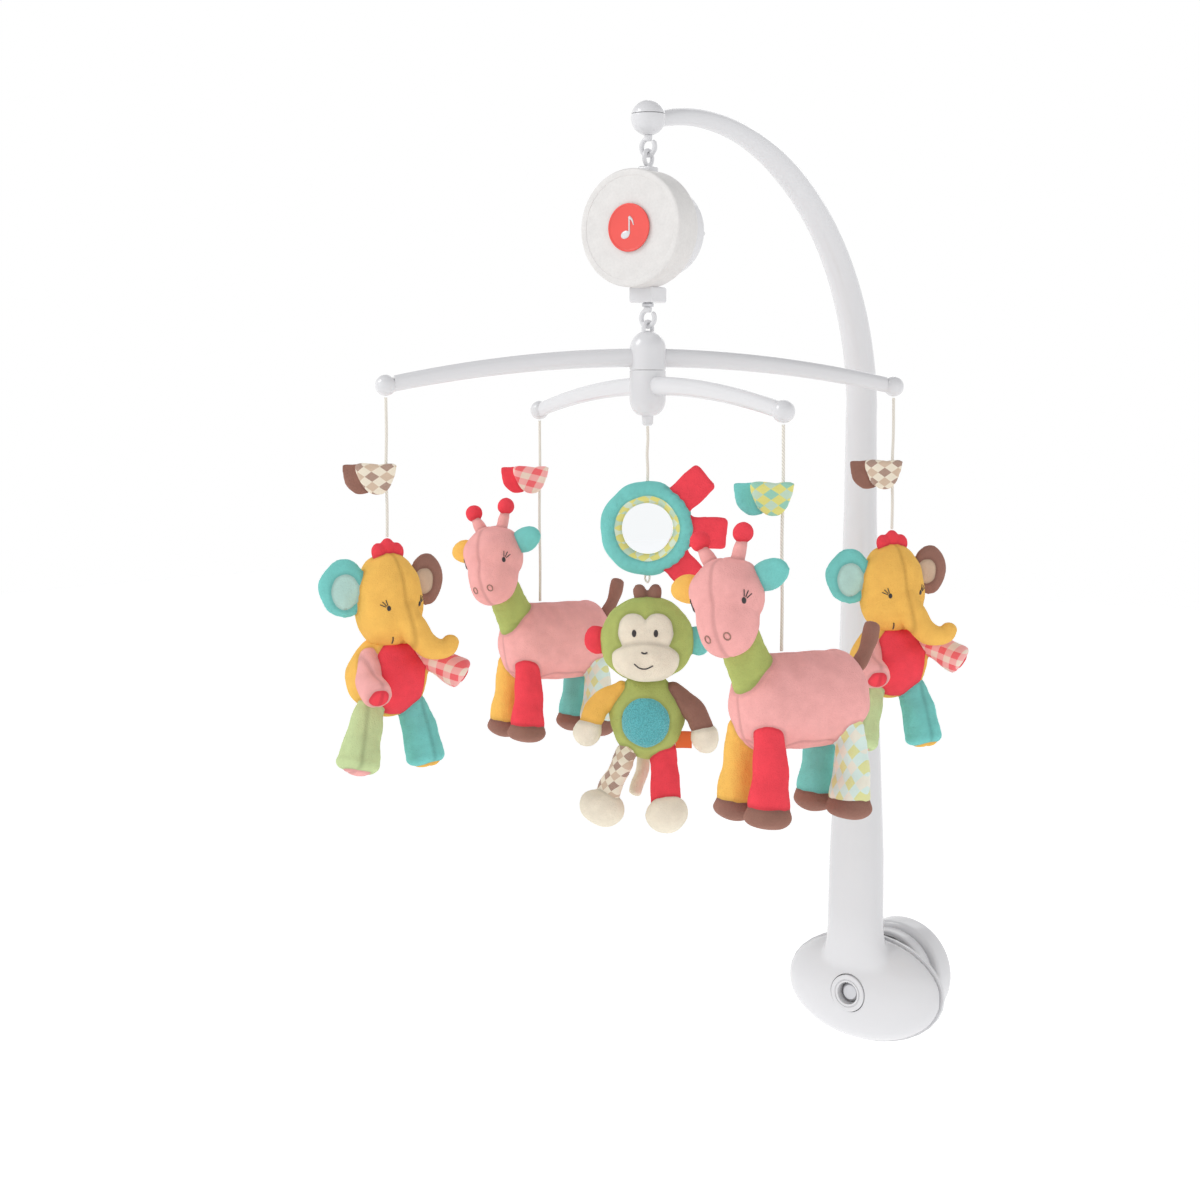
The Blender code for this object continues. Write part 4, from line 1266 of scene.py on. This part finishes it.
class Stitches:
    """Embroidered marks on a plush piece, all of one thread."""

    def __init__(self, plush, name, thread, way=(0, 1, 0), off=0.1):
        self.plush = plush
        self.name = name
        self.thread = thread
        self.way = Vector(way).normalized()
        self.off = off
        self.pieces = []

    def point(self, spot):
        """Skin point in front of a spot given in the toy's frame."""
        return self.plush.touch(Vector(spot) - self.way * self.off, self.way)

    def line(self, spots, radius=0.00045, count=12):
        points = [self.point(spot)[0] - self.way * 0.00015 for spot in along(spots, count)]
        self.pieces.append(rod("stitch", points, [radius] * count, 3))
        return self

    def dot(self, spot, wide, high, proud=0.0007):
        """A satin-stitched oval that lies on the skin."""
        place, normal = self.point(spot)
        turn = normal.to_track_quat("Z", "Y").to_matrix().to_4x4()
        unselect()
        bpy.ops.mesh.primitive_uv_sphere_add(segments=28, ring_count=14, radius=1, location=place,
                                             rotation=turn.to_euler(), scale=(wide, high, proud))
        oval = added()
        freeze()
        self.pieces.append(oval)
        return self

    def lashes(self, spot, reach, turns, side=Vector((1, 0, 0))):
        """Short straight stitches that fan out from an eye."""
        spot = Vector(spot)
        for turn in turns:
            ray = side * cos(turn) + Vector((0, 0, 1)) * sin(turn)
            self.line([spot + ray * reach * 0.35, spot + ray * reach], 0.00028, 4)
        return self

    def finish(self, place, body):
        marks = join(self.pieces)
        settle(marks, self.name, place)
        smooth(marks, radians(60))
        dress(marks, body, "embroidery", embroidery(self.thread))


# --- Toys: each is modelled facing -Y, with the string on its Z axis and its top at 0 ---------
DIAGONAL = (0, radians(45), 0)


def brown_check():
    return print_cloth("brown_check", "cream", "beige", "brown", DIAGONAL)


def coral_check():
    return print_cloth("coral_check", "pink", "coral", "cream", (0, radians(20), 0))


class MOBILE_OT_elephants(bpy.types.Operator):
    """Two sitting elephants with trunks, patchwork ears and limbs"""
    bl_idname = "mobile.elephants"
    bl_label = "Elephants"

    def execute(self, context):
        for name in ("elephant_left", "elephant_right"):
            place = toy_place(name)
            self.head(name, place)
            self.trunk_and_limbs(name, place)
        return {"FINISHED"}

    def head(self, name, place):
        head = Plush(name + "_face", skull="yellow", tuft="coral", ear_left="turquoise", ear_right="brown")
        head.egg("skull", (0, 0, -0.037), (0.0212, 0.0195, 0.0285))
        head.egg("skull", (0, -0.002, -0.048), (0.0195, 0.0180, 0.0175))
        head.limb("skull", [(0.002, -0.010, -0.040), (0.005, -0.019, -0.051), (0.010, -0.0255, -0.0605),
                            (0.0175, -0.0275, -0.0650), (0.0245, -0.0280, -0.0640),
                            (0.0275, -0.0275, -0.0600)],
                  (0.0100, 0.0088, 0.0074, 0.0062, 0.0055, 0.0050))
        for x, z in ((-0.0062, -0.0085), (0, -0.0058), (0.0062, -0.0085)):
            head.egg("tuft", (x, 0, z), (0.0042, 0.0038, 0.0056))
        head.egg("ear_left", (-0.0275, 0.0035, -0.029), (0.0145, 0.0046, 0.0172),
                 Matrix.Rotation(-0.35, 4, "Z"))
        head.egg("ear_right", (0.0280, 0.0035, -0.026), (0.0148, 0.0046, 0.0155),
                 Matrix.Rotation(0.35, 4, "Z"))
        head.panel("lining_left", "pale", ["ear_left"],
                   (-0.0285, -0.0010, -0.031), (0.0085, 0.0050, 0.0110), Matrix.Rotation(-0.35, 4, "Z"))
        head.panel("lining_right", "beige", ["ear_right"], (0.0245, -0.0010, -0.0265),
                   (0.0080, 0.0050, 0.0080), Matrix.Rotation(0.35, 4, "Z"))
        head.line("skull", (0, 0, 0), (1, 0, 0.04))
        head.sew()
        Stitches(head, name + "_eyes", "thread").dot((-0.0088, 0, -0.0400), 0.0012, 0.0016).dot(
            (0.0125, 0, -0.0385), 0.0012, 0.0016).lashes((-0.0088, 0, -0.0400), 0.0052,
                                                         (1.9, 2.3, 2.7)).lashes(
            (0.0125, 0, -0.0385), 0.0052, (0.5, 0.9, 1.3)).line(
            [(-0.0060, 0, -0.0570), (-0.0052, 0, -0.0590), (-0.0048, 0, -0.0612)], 0.0004, 6).finish(place,
                                                                                                     name)
        head.finish(place, name, "yellow_velour", [name + "_head"])

    def trunk_and_limbs(self, name, place):
        body = Plush(name + "_torso", back="yellow", arm_left="pink", arm_right=coral_check(),
                     leg_left="green",
                     leg_right="turquoise")
        body.egg("back", (0, 0.002, -0.083), (0.0252, 0.0212, 0.0235))
        body.egg("back", (0, 0.001, -0.070), (0.0175, 0.0165, 0.0130))
        body.limb("arm_left", [(-0.015, -0.004, -0.069), (-0.0212, -0.015, -0.082),
                               (-0.0225, -0.0270, -0.0890)],
                  (0.0062, 0.0080, 0.0094))
        body.limb("arm_right", [(0.015, -0.004, -0.067), (0.0275, -0.0115, -0.0740),
                                (0.0385, -0.0180, -0.0815)],
                  (0.0062, 0.0080, 0.0094))
        body.limb("leg_left", [(-0.012, -0.002, -0.096), (-0.0205, -0.0065, -0.114),
                               (-0.0265, -0.0100, -0.1315)],
                  (0.0085, 0.0105, 0.0128))
        body.limb("leg_right", [(0.012, -0.002, -0.096), (0.0170, -0.0065, -0.114),
                                (0.0190, -0.0100, -0.1315)],
                  (0.0085, 0.0105, 0.0124))
        body.panel("belly", "coral", ["back"], (0.001, -0.020, -0.0840), (0.0195, 0.0225, 0.0290))
        body.panel("paw_left", "coral", ["arm_left"], (-0.0230, -0.0325, -0.0925), (0.0086, 0.0086, 0.0052),
                   aimed((-0.001, -0.0120, -0.0075)))
        body.panel("paw_right", "coral", ["arm_right"], (0.0450, -0.0220, -0.0860),
                   (0.0078, 0.0078, 0.0070),
                   aimed((0.011, -0.0065, -0.0075)))
        body.panel("sole_left", "pink", ["leg_left"], (-0.0292, -0.0118, -0.1400), (0.0125, 0.0125, 0.0060),
                   aimed((-0.006, -0.0035, -0.0175)))
        body.panel("sole_right", "yellow", ["leg_right"], (0.0200, -0.0120, -0.1400),
                   (0.0122, 0.0122, 0.0060),
                   aimed((0.002, -0.0035, -0.0175)))
        body.line("arm_left", (-0.0218, -0.0225, -0.0900), (1, 0, 0))
        body.line("leg_left", (-0.0235, 0, -0.110), (1, 0, -0.35))
        body.line("leg_right", (0.0175, 0, -0.110), (1, 0, 0.1))
        body.sew()
        body.finish(place, name, "coral_velour", [name + "_body"])


class MOBILE_OT_giraffes(bpy.types.Operator):
    """Two standing giraffes with patchwork legs, horns and a tube tail"""
    bl_idname = "mobile.giraffes"
    bl_label = "Giraffes"

    def execute(self, context):
        for name in ("giraffe_front", "giraffe_back"):
            place = toy_place(name) @ Matrix.Translation((0, 0, GIRAFFE_RISE))
            nod = Matrix.Translation((0, -0.034, -0.044))
            turn = Matrix.Rotation(radians(30), 4, "Z") @ Matrix.Rotation(radians(-12), 4, "Y")
            self.head(name, place @ nod @ turn @ nod.inverted())
            self.body(name, place)
        return {"FINISHED"}

    def head(self, name, place):
        head = Plush(name + "_face", skull="pink", horns="pink", knobs="coral", ear_left="yellow",
                     ear_right="turquoise")
        tilt = Matrix.Rotation(radians(-20), 4, "X")
        head.egg("skull", (0, -0.034, -0.037), (0.0205, 0.0190, 0.0200), tilt)
        head.egg("skull", (0, -0.039, -0.050), (0.0168, 0.0165, 0.0215), tilt)
        for side in (-1, 1):
            head.limb("horns", [(side * 0.007, -0.031, -0.022), (side * 0.0095, -0.030, -0.016),
                                (side * 0.012, -0.029, -0.011)], (0.0042, 0.0038, 0.0036))
            head.egg("knobs", (side * 0.0130, -0.0285, -0.0066), (0.0058, 0.0056, 0.0060))
        head.egg("ear_left", (-0.0240, -0.029, -0.031), (0.0122, 0.0050, 0.0082),
                 Matrix.Rotation(0.25, 4, "Y"))
        head.egg("ear_right", (0.0240, -0.029, -0.031), (0.0122, 0.0050, 0.0082),
                 Matrix.Rotation(-0.25, 4, "Y"))
        head.line("skull", (0, -0.037, -0.044), (1, 0, 0))
        head.sew()
        for side in (-1, 1):
            way = Vector((-side * 0.8, 0.6, 0))
            across = Vector((side * 0.6, 0.8, 0)) * side
            eye = Vector((side * 0.0135, -0.045, -0.0420))
            Stitches(head, f"{name}_eye_{'left' if side < 0 else 'right'}", "thread", way).dot(eye, 0.0013,
                                                                                               0.0018).lashes(
                eye, 0.0058, (0.5, 0.95, 1.4) if side > 0 else (1.75, 2.2, 2.65), across).finish(place,
                                                                                                 name)
        rings = Stitches(head, name + "_nostrils", "brown")
        for side in (-1, 1):
            rings.line([(side * 0.0058 + 0.0017 * cos(2 * pi * i / 8), 0,
                         -0.0590 + 0.0020 * sin(2 * pi * i / 8))
                        for i in range(9)], 0.0004, 24)
        rings.finish(place, name)
        head.finish(place, name, "pink_velour", [name + "_head"])

    def body(self, name, place):
        diamonds = print_cloth("turquoise_check", "mist", "cream", "lemon", (0, 0, 0), True)
        body = Plush(name + "_torso", barrel="pink", neck="olive", tail="brown", leg_front_left="yellow",
                     leg_front_right="coral", leg_rear_left="turquoise", leg_rear_right=diamonds)
        for i in range(12):
            body.egg("barrel", (0, -0.0115 + 0.0470 * i / 11, -0.0975), (0.0228, 0.0172, 0.0265))
        body.limb("neck", [(0, -0.017, -0.084), (0, -0.0250, -0.067), (0, -0.0315, -0.053)],
                  (0.0135, 0.0118, 0.0105))
        body.limb("tail", [(0, 0.046, -0.087), (0, 0.056, -0.075), (0, 0.0615, -0.059)],
                  (0.0038, 0.0042, 0.0047))
        for label, side, y in (("leg_front_left", -1, -0.017), ("leg_front_right", 1, -0.017),
                               ("leg_rear_left", -1, 0.037), ("leg_rear_right", 1, 0.037)):
            way = Vector((side * 0.001, -0.002, -0.019))
            body.limb(label, [(side * 0.0130, y, -0.113), (side * 0.0148, y, -0.136),
                              (side * 0.0156, y - 0.002, -0.157)],
                      (0.0085, 0.0100, 0.0128))
            body.panel(label.replace("leg", "hoof"), "brown", [label], (side * 0.0160, y - 0.003, -0.1640),
                       (0.0190, 0.0190, 0.0150), aimed(way))
        body.panel("belly", "pink", ["barrel"], (0, 0.010, -0.1260), (0.0150, 0.0400, 0.0160))
        body.line("barrel", (0, 0, -0.0975), (1, 0, 0))
        body.sew()
        body.finish(place, name, "pink_velour", [name + "_body"])


class MOBILE_OT_monkey(bpy.types.Operator):
    """Monkey with an eye mask, wide muzzle, round belly patch and big feet"""
    bl_idname = "mobile.monkey"
    bl_label = "Monkey"

    def execute(self, context):
        place = toy_place("monkey")
        self.head(place)
        self.body(place)
        return {"FINISHED"}

    def head(self, place):
        head = Plush("monkey_face", skull="olive", muzzle="cream", tuft="brown", ear_left="coral",
                     ear_right="turquoise")
        head.egg("skull", (0, 0, -0.0345), (0.0285, 0.0212, 0.0258))
        head.egg("skull", (0, 0, -0.0420), (0.0275, 0.0195, 0.0190))
        head.egg("muzzle", (0, -0.0132, -0.0462), (0.0208, 0.0128, 0.0136))
        for x in (-0.0040, 0.0042):
            head.egg("tuft", (x, 0, -0.0082), (0.0044, 0.0042, 0.0070), Matrix.Rotation(x * 60, 4, "Y"))
        head.egg("ear_left", (-0.0312, 0.002, -0.036), (0.0078, 0.0044, 0.0094))
        head.egg("ear_right", (0.0312, 0.002, -0.036), (0.0078, 0.0044, 0.0094))
        for side in (-1, 1):
            head.panel("mask", "cream", ["skull"], (side * 0.0074, -0.018, -0.0290),
                       (0.0098, 0.0120, 0.0122), Matrix.Rotation(side * 0.2, 4, "Y"))
        head.line("skull", (0, 0, -0.035), (0, 1, 0))
        head.sew()
        Stitches(head, "monkey_eyes", "thread").dot((-0.0066, 0, -0.0295), 0.0014, 0.0023).dot(
            (0.0066, 0, -0.0295), 0.0014, 0.0023).line(
            [(-0.0062, 0, -0.0475), (-0.0030, 0, -0.0500), (0.0010, 0, -0.0505), (0.0052, 0, -0.0485)],
            0.0004, 14).line(
            [(-0.0018, 0, -0.0405), (0, 0, -0.0412), (0.0018, 0, -0.0405)], 0.0005, 6).finish(place,
                                                                                              "monkey")
        head.finish(place, "monkey", "green_velour", ["monkey_head"])

    def body(self, place):
        body = Plush("monkey_torso", trunk="olive", arm_left="yellow", arm_right="brown",
                     leg_left=brown_check(),
                     leg_right="coral", foot_left="cream", foot_right="cream", tail="cream")
        body.egg("trunk", (0, 0, -0.083), (0.0232, 0.0182, 0.0262))
        body.egg("trunk", (0, 0, -0.070), (0.0160, 0.0140, 0.0150))
        body.limb("arm_left", [(-0.015, -0.002, -0.067), (-0.0285, -0.004, -0.075),
                               (-0.0355, -0.006, -0.089)],
                  (0.0066, 0.0070, 0.0078))
        body.limb("arm_right", [(0.015, -0.002, -0.067), (0.0285, -0.004, -0.078),
                                (0.0355, -0.006, -0.092)],
                  (0.0066, 0.0070, 0.0078))
        body.egg("arm_left", (-0.0362, -0.0065, -0.0915), (0.0090, 0.0084, 0.0098))
        body.egg("arm_right", (0.0362, -0.0065, -0.0945), (0.0090, 0.0084, 0.0098))
        body.limb("leg_left", [(-0.010, -0.002, -0.100), (-0.0185, -0.005, -0.119),
                               (-0.0240, -0.009, -0.131)],
                  (0.0086, 0.0090, 0.0094), 0.72)
        body.limb("leg_right", [(0.010, -0.002, -0.100), (0.0115, -0.005, -0.120),
                                (0.0120, -0.009, -0.135)],
                  (0.0086, 0.0092, 0.0098), 0.72)
        body.egg("foot_left", (-0.0268, -0.0120, -0.1380), (0.0140, 0.0112, 0.0112),
                 Matrix.Rotation(0.35, 4, "Y"))
        body.egg("foot_right", (0.0130, -0.0120, -0.1415), (0.0132, 0.0112, 0.0114),
                 Matrix.Rotation(-0.25, 4, "Y"))
        body.limb("tail", [(-0.002, 0.010, -0.104), (-0.004, 0.010, -0.120), (-0.008, 0.006, -0.1320)],
                  (0.0042, 0.0040, 0.0042))
        body.panel("patch", fleece("aqua"), ["trunk"], (0, -0.017, -0.085), (0.0155, 0.0140, 0.0158))
        body.panel("hand_left", "cream", ["arm_left"], (-0.0375, -0.0065, -0.0960),
                   (0.0135, 0.0135, 0.0125))
        body.panel("hand_right", "cream", ["arm_right"], (0.0375, -0.0065, -0.0990),
                   (0.0135, 0.0135, 0.0125))
        body.line("trunk", (0, 0, -0.083), (0, 1, 0))
        body.sew()
        self.tag(body, place)
        body.finish(place, "monkey", "green_velour", ["monkey_body"])

    def tag(self, body, place):
        """Blank ribbon with a slight wave, sewn into the side seam."""
        root, _ = body.touch((0.0272, -0.002, -0.0970), (-1, 0, 0))
        unselect()
        bpy.ops.mesh.primitive_grid_add(x_subdivisions=12, y_subdivisions=12, size=1,
                                        location=(root.x + 0.0035, root.y, root.z), rotation=(pi / 2, 0, 0))
        ribbon_piece = added()
        ribbon_piece.scale = (0.0100, 0.0105, 1)
        freeze()
        for vertex in ribbon_piece.data.vertices:
            vertex.co.y += 0.0006 * sin((vertex.co.x - root.x) * 420)
        apply_modifier(ribbon_piece, "SOLIDIFY", thickness=0.0008, offset=0)
        settle(ribbon_piece, "ribbon_tag", place)
        smooth(ribbon_piece)
        dress(ribbon_piece, "monkey", "orange_tag", ribbon())


class MOBILE_OT_leaves(bpy.types.Operator):
    """Pairs of stuffed half-moon leaves on the strings, plush on one side and printed on the other"""
    bl_idname = "mobile.leaves"
    bl_label = "Leaves"

    def execute(self, context):
        finishes = {
            "elephant_left": ("brown", brown_check(), "brown_check"),
            "elephant_right": ("brown", brown_check(), "brown_check"),
            "giraffe_front": ("turquoise", print_cloth("turquoise_leaf", "lemon", "pale", "turquoise",
                                                       DIAGONAL),
                              "turquoise_check"),
            "giraffe_back": ("coral", coral_check(), "coral_check"),
        }
        for name, (plain, patterned, slot) in finishes.items():
            tip = middle("tip_" + name)
            place = Matrix.Translation((tip.x, tip.y, top("leaf_" + name))) @ Matrix.Rotation(radians(37),
                                                                                              4, "Z")
            leaf = Plush("wings_" + name, printed=patterned, plush=plain)
            for label, fan, y, middle_x in (("printed", 0.16, -0.0020, -0.0060),
                                            ("plush", -0.16, 0.0020, -0.0150)):
                turn = Matrix.Rotation(fan, 4, "Z")
                leaf.slab(label, (middle_x, y, -0.0012), (0.0118, 0.0017, 0.0182), turn, True)
            leaf.sew()
            leaf.finish(place, "hang_" + name, slot, ["leaf_" + name], 0.6)
        return {"FINISHED"}


class MOBILE_OT_sun(bpy.types.Operator):
    """Plush ring with a printed inner rim and three flaps round a safety mirror"""
    bl_idname = "mobile.sun"
    bl_label = "Mirror ring"

    def execute(self, context):
        centre = middle("sun_mirror")
        place = Matrix.Translation(centre) @ Matrix.Rotation(radians(32), 4, "Z")
        ring = Plush("sun_plush", ring="turquoise",
                     rim=print_cloth("rim_check", "lemon", "mist", "pale", DIAGONAL),
                     flaps="coral")
        ring.hoops = [(0.0234, 0.0054), (0.0193, 0.0031)]
        steps = 30
        for i in range(steps):
            turn = 2 * pi * i / steps
            way = Vector((cos(turn), 0, sin(turn)))
            tangent = Matrix.Rotation(-turn, 4, "Y")
            ring.egg("ring", way * 0.0233, (0.0050, 0.0062, 0.0036), tangent)
            ring.egg("rim", way * 0.0190, (0.0024, 0.0044, 0.0030), tangent)
        for turn in (radians(42), radians(-4), radians(-48)):
            along_flap = Matrix.Rotation(-turn, 4, "Y")
            ring.slab("flaps", along_flap @ Vector((0.0355, 0, 0)), (0.0130, 0.0026, 0.0094), along_flap)
        ring.sew()
        ring.finish(place, "sun", "turquoise_velour", ["sun_ring"])
        radius = half_size("sun_mirror").z
        profile = [(0, 0.0012), (radius - 0.0016, 0.0012), (radius - 0.0006, 0.0006), (radius, 0.0004),
                   (radius, -0.0012),
                   (0, -0.0012)]
        glass = spun("mirror_disc", rounded(profile, 0.0003), place @ FRONT, 96)
        dress(glass, "sun", "mirror", mirror_finish(), "sun_mirror")
        return {"FINISHED"}


# --- Stage -----------------------------------------------------------------------------------
class MOBILE_OT_stage(bpy.types.Operator):
    """Pale floor, soft studio light and the camera"""
    bl_idname = "mobile.stage"
    bl_label = "Stage"

    def execute(self, context):
        self.floor()
        self.world()
        self.light("key", (-1.1, -1.5, 1.6), 0.9, 14)
        self.light("fill", (1.9, -0.9, 0.7), 1.8, 2.5)
        self.light("rim", (-0.6, 1.5, 1.5), 1.2, 4)
        self.camera()
        return {"FINISHED"}

    def floor(self):
        unselect()
        bpy.ops.mesh.primitive_plane_add(size=14, location=(0, 0, -0.45))
        floor = added()
        freeze()
        floor.name = "floor"
        graph = Graph("pale_floor", (0.94, 0.94, 0.94), 0.9, Emission_Color=(1, 1, 1, 1),
                      Emission_Strength=0.42)
        graph.colour(graph.mix(graph.noise(2), (0.93, 0.93, 0.93), (0.95, 0.95, 0.95)))
        floor.data.materials.append(graph.material)

    def world(self):
        world = bpy.data.worlds.new("studio")
        bpy.context.scene.world = world
        world.use_nodes = True
        tree = world.node_tree
        background = tree.nodes["Background"]
        split = tree.nodes.new("ShaderNodeSeparateXYZ")
        tree.links.new(tree.nodes.new("ShaderNodeTexCoord").outputs["Generated"], split.inputs[0])
        ramp = tree.nodes.new("ShaderNodeValToRGB")
        ramp.color_ramp.elements[0].position = 0.34
        ramp.color_ramp.elements[0].color = (1, 1, 1, 1)
        ramp.color_ramp.elements[1].position = 0.62
        ramp.color_ramp.elements[1].color = (0.50, 0.50, 0.51, 1)
        tree.links.new(split.outputs["Z"], ramp.inputs[0])
        tree.links.new(ramp.outputs[0], background.inputs["Color"])

    def light(self, name, place, size, power):
        unselect()
        aim = HANG - Vector((0, 0, 0.15)) - Vector(place)
        bpy.ops.object.light_add(type="AREA", location=place,
                                 rotation=aim.to_track_quat("-Z", "Y").to_euler())
        lamp = added()
        lamp.name = name
        lamp.data.size = size
        lamp.data.energy = power

    def camera(self):
        settings = sizes()
        away = Vector((0.735, -1.0235, 0)).normalized() * settings.distance
        place = (HANG.x + away.x, HANG.y + away.y, settings.camera_rise)
        bpy.ops.object.camera_add(location=place, rotation=(pi / 2 - settings.tilt, 0, settings.azimuth))
        camera = added()
        camera.name = "camera"
        camera.data.lens = settings.lens
        camera.data.dof.use_dof = False
        bpy.context.scene.camera = camera
        bpy.context.scene.view_settings.view_transform = "Standard"


PIECES = (MOBILE_OT_stand, MOBILE_OT_clamp, MOBILE_OT_music_box, MOBILE_OT_cross, MOBILE_OT_strings,
          MOBILE_OT_elephants,
          MOBILE_OT_giraffes, MOBILE_OT_monkey, MOBILE_OT_leaves, MOBILE_OT_sun, MOBILE_OT_stage)


class MOBILE_PT_panel(bpy.types.Panel):
    """Lists the pieces of the mobile"""
    bl_idname = "MOBILE_PT_panel"
    bl_label = "Crib mobile"
    bl_space_type = "VIEW_3D"
    bl_region_type = "UI"
    bl_category = "Mobile"

    def draw(self, context):
        for group in (colours(), sizes()):
            for name in group.__annotations__:
                self.layout.prop(group, name)
        for piece in PIECES:
            self.layout.operator(piece.bl_idname)


CLASSES = (MobileColours, MobileSizes, *PIECES, MOBILE_PT_panel)


def register():
    for item in CLASSES:
        bpy.utils.register_class(item)
    bpy.types.Scene.mobile_colours = PointerProperty(type=MobileColours)
    bpy.types.Scene.mobile_sizes = PointerProperty(type=MobileSizes)


def unregister():
    del bpy.types.Scene.mobile_sizes
    del bpy.types.Scene.mobile_colours
    for item in reversed(CLASSES):
        bpy.utils.unregister_class(item)


def main():
    register()
    for piece in PIECES:
        group, name = piece.bl_idname.split(".")
        getattr(getattr(bpy.ops, group), name)()


if __name__ == "__main__":
    main()
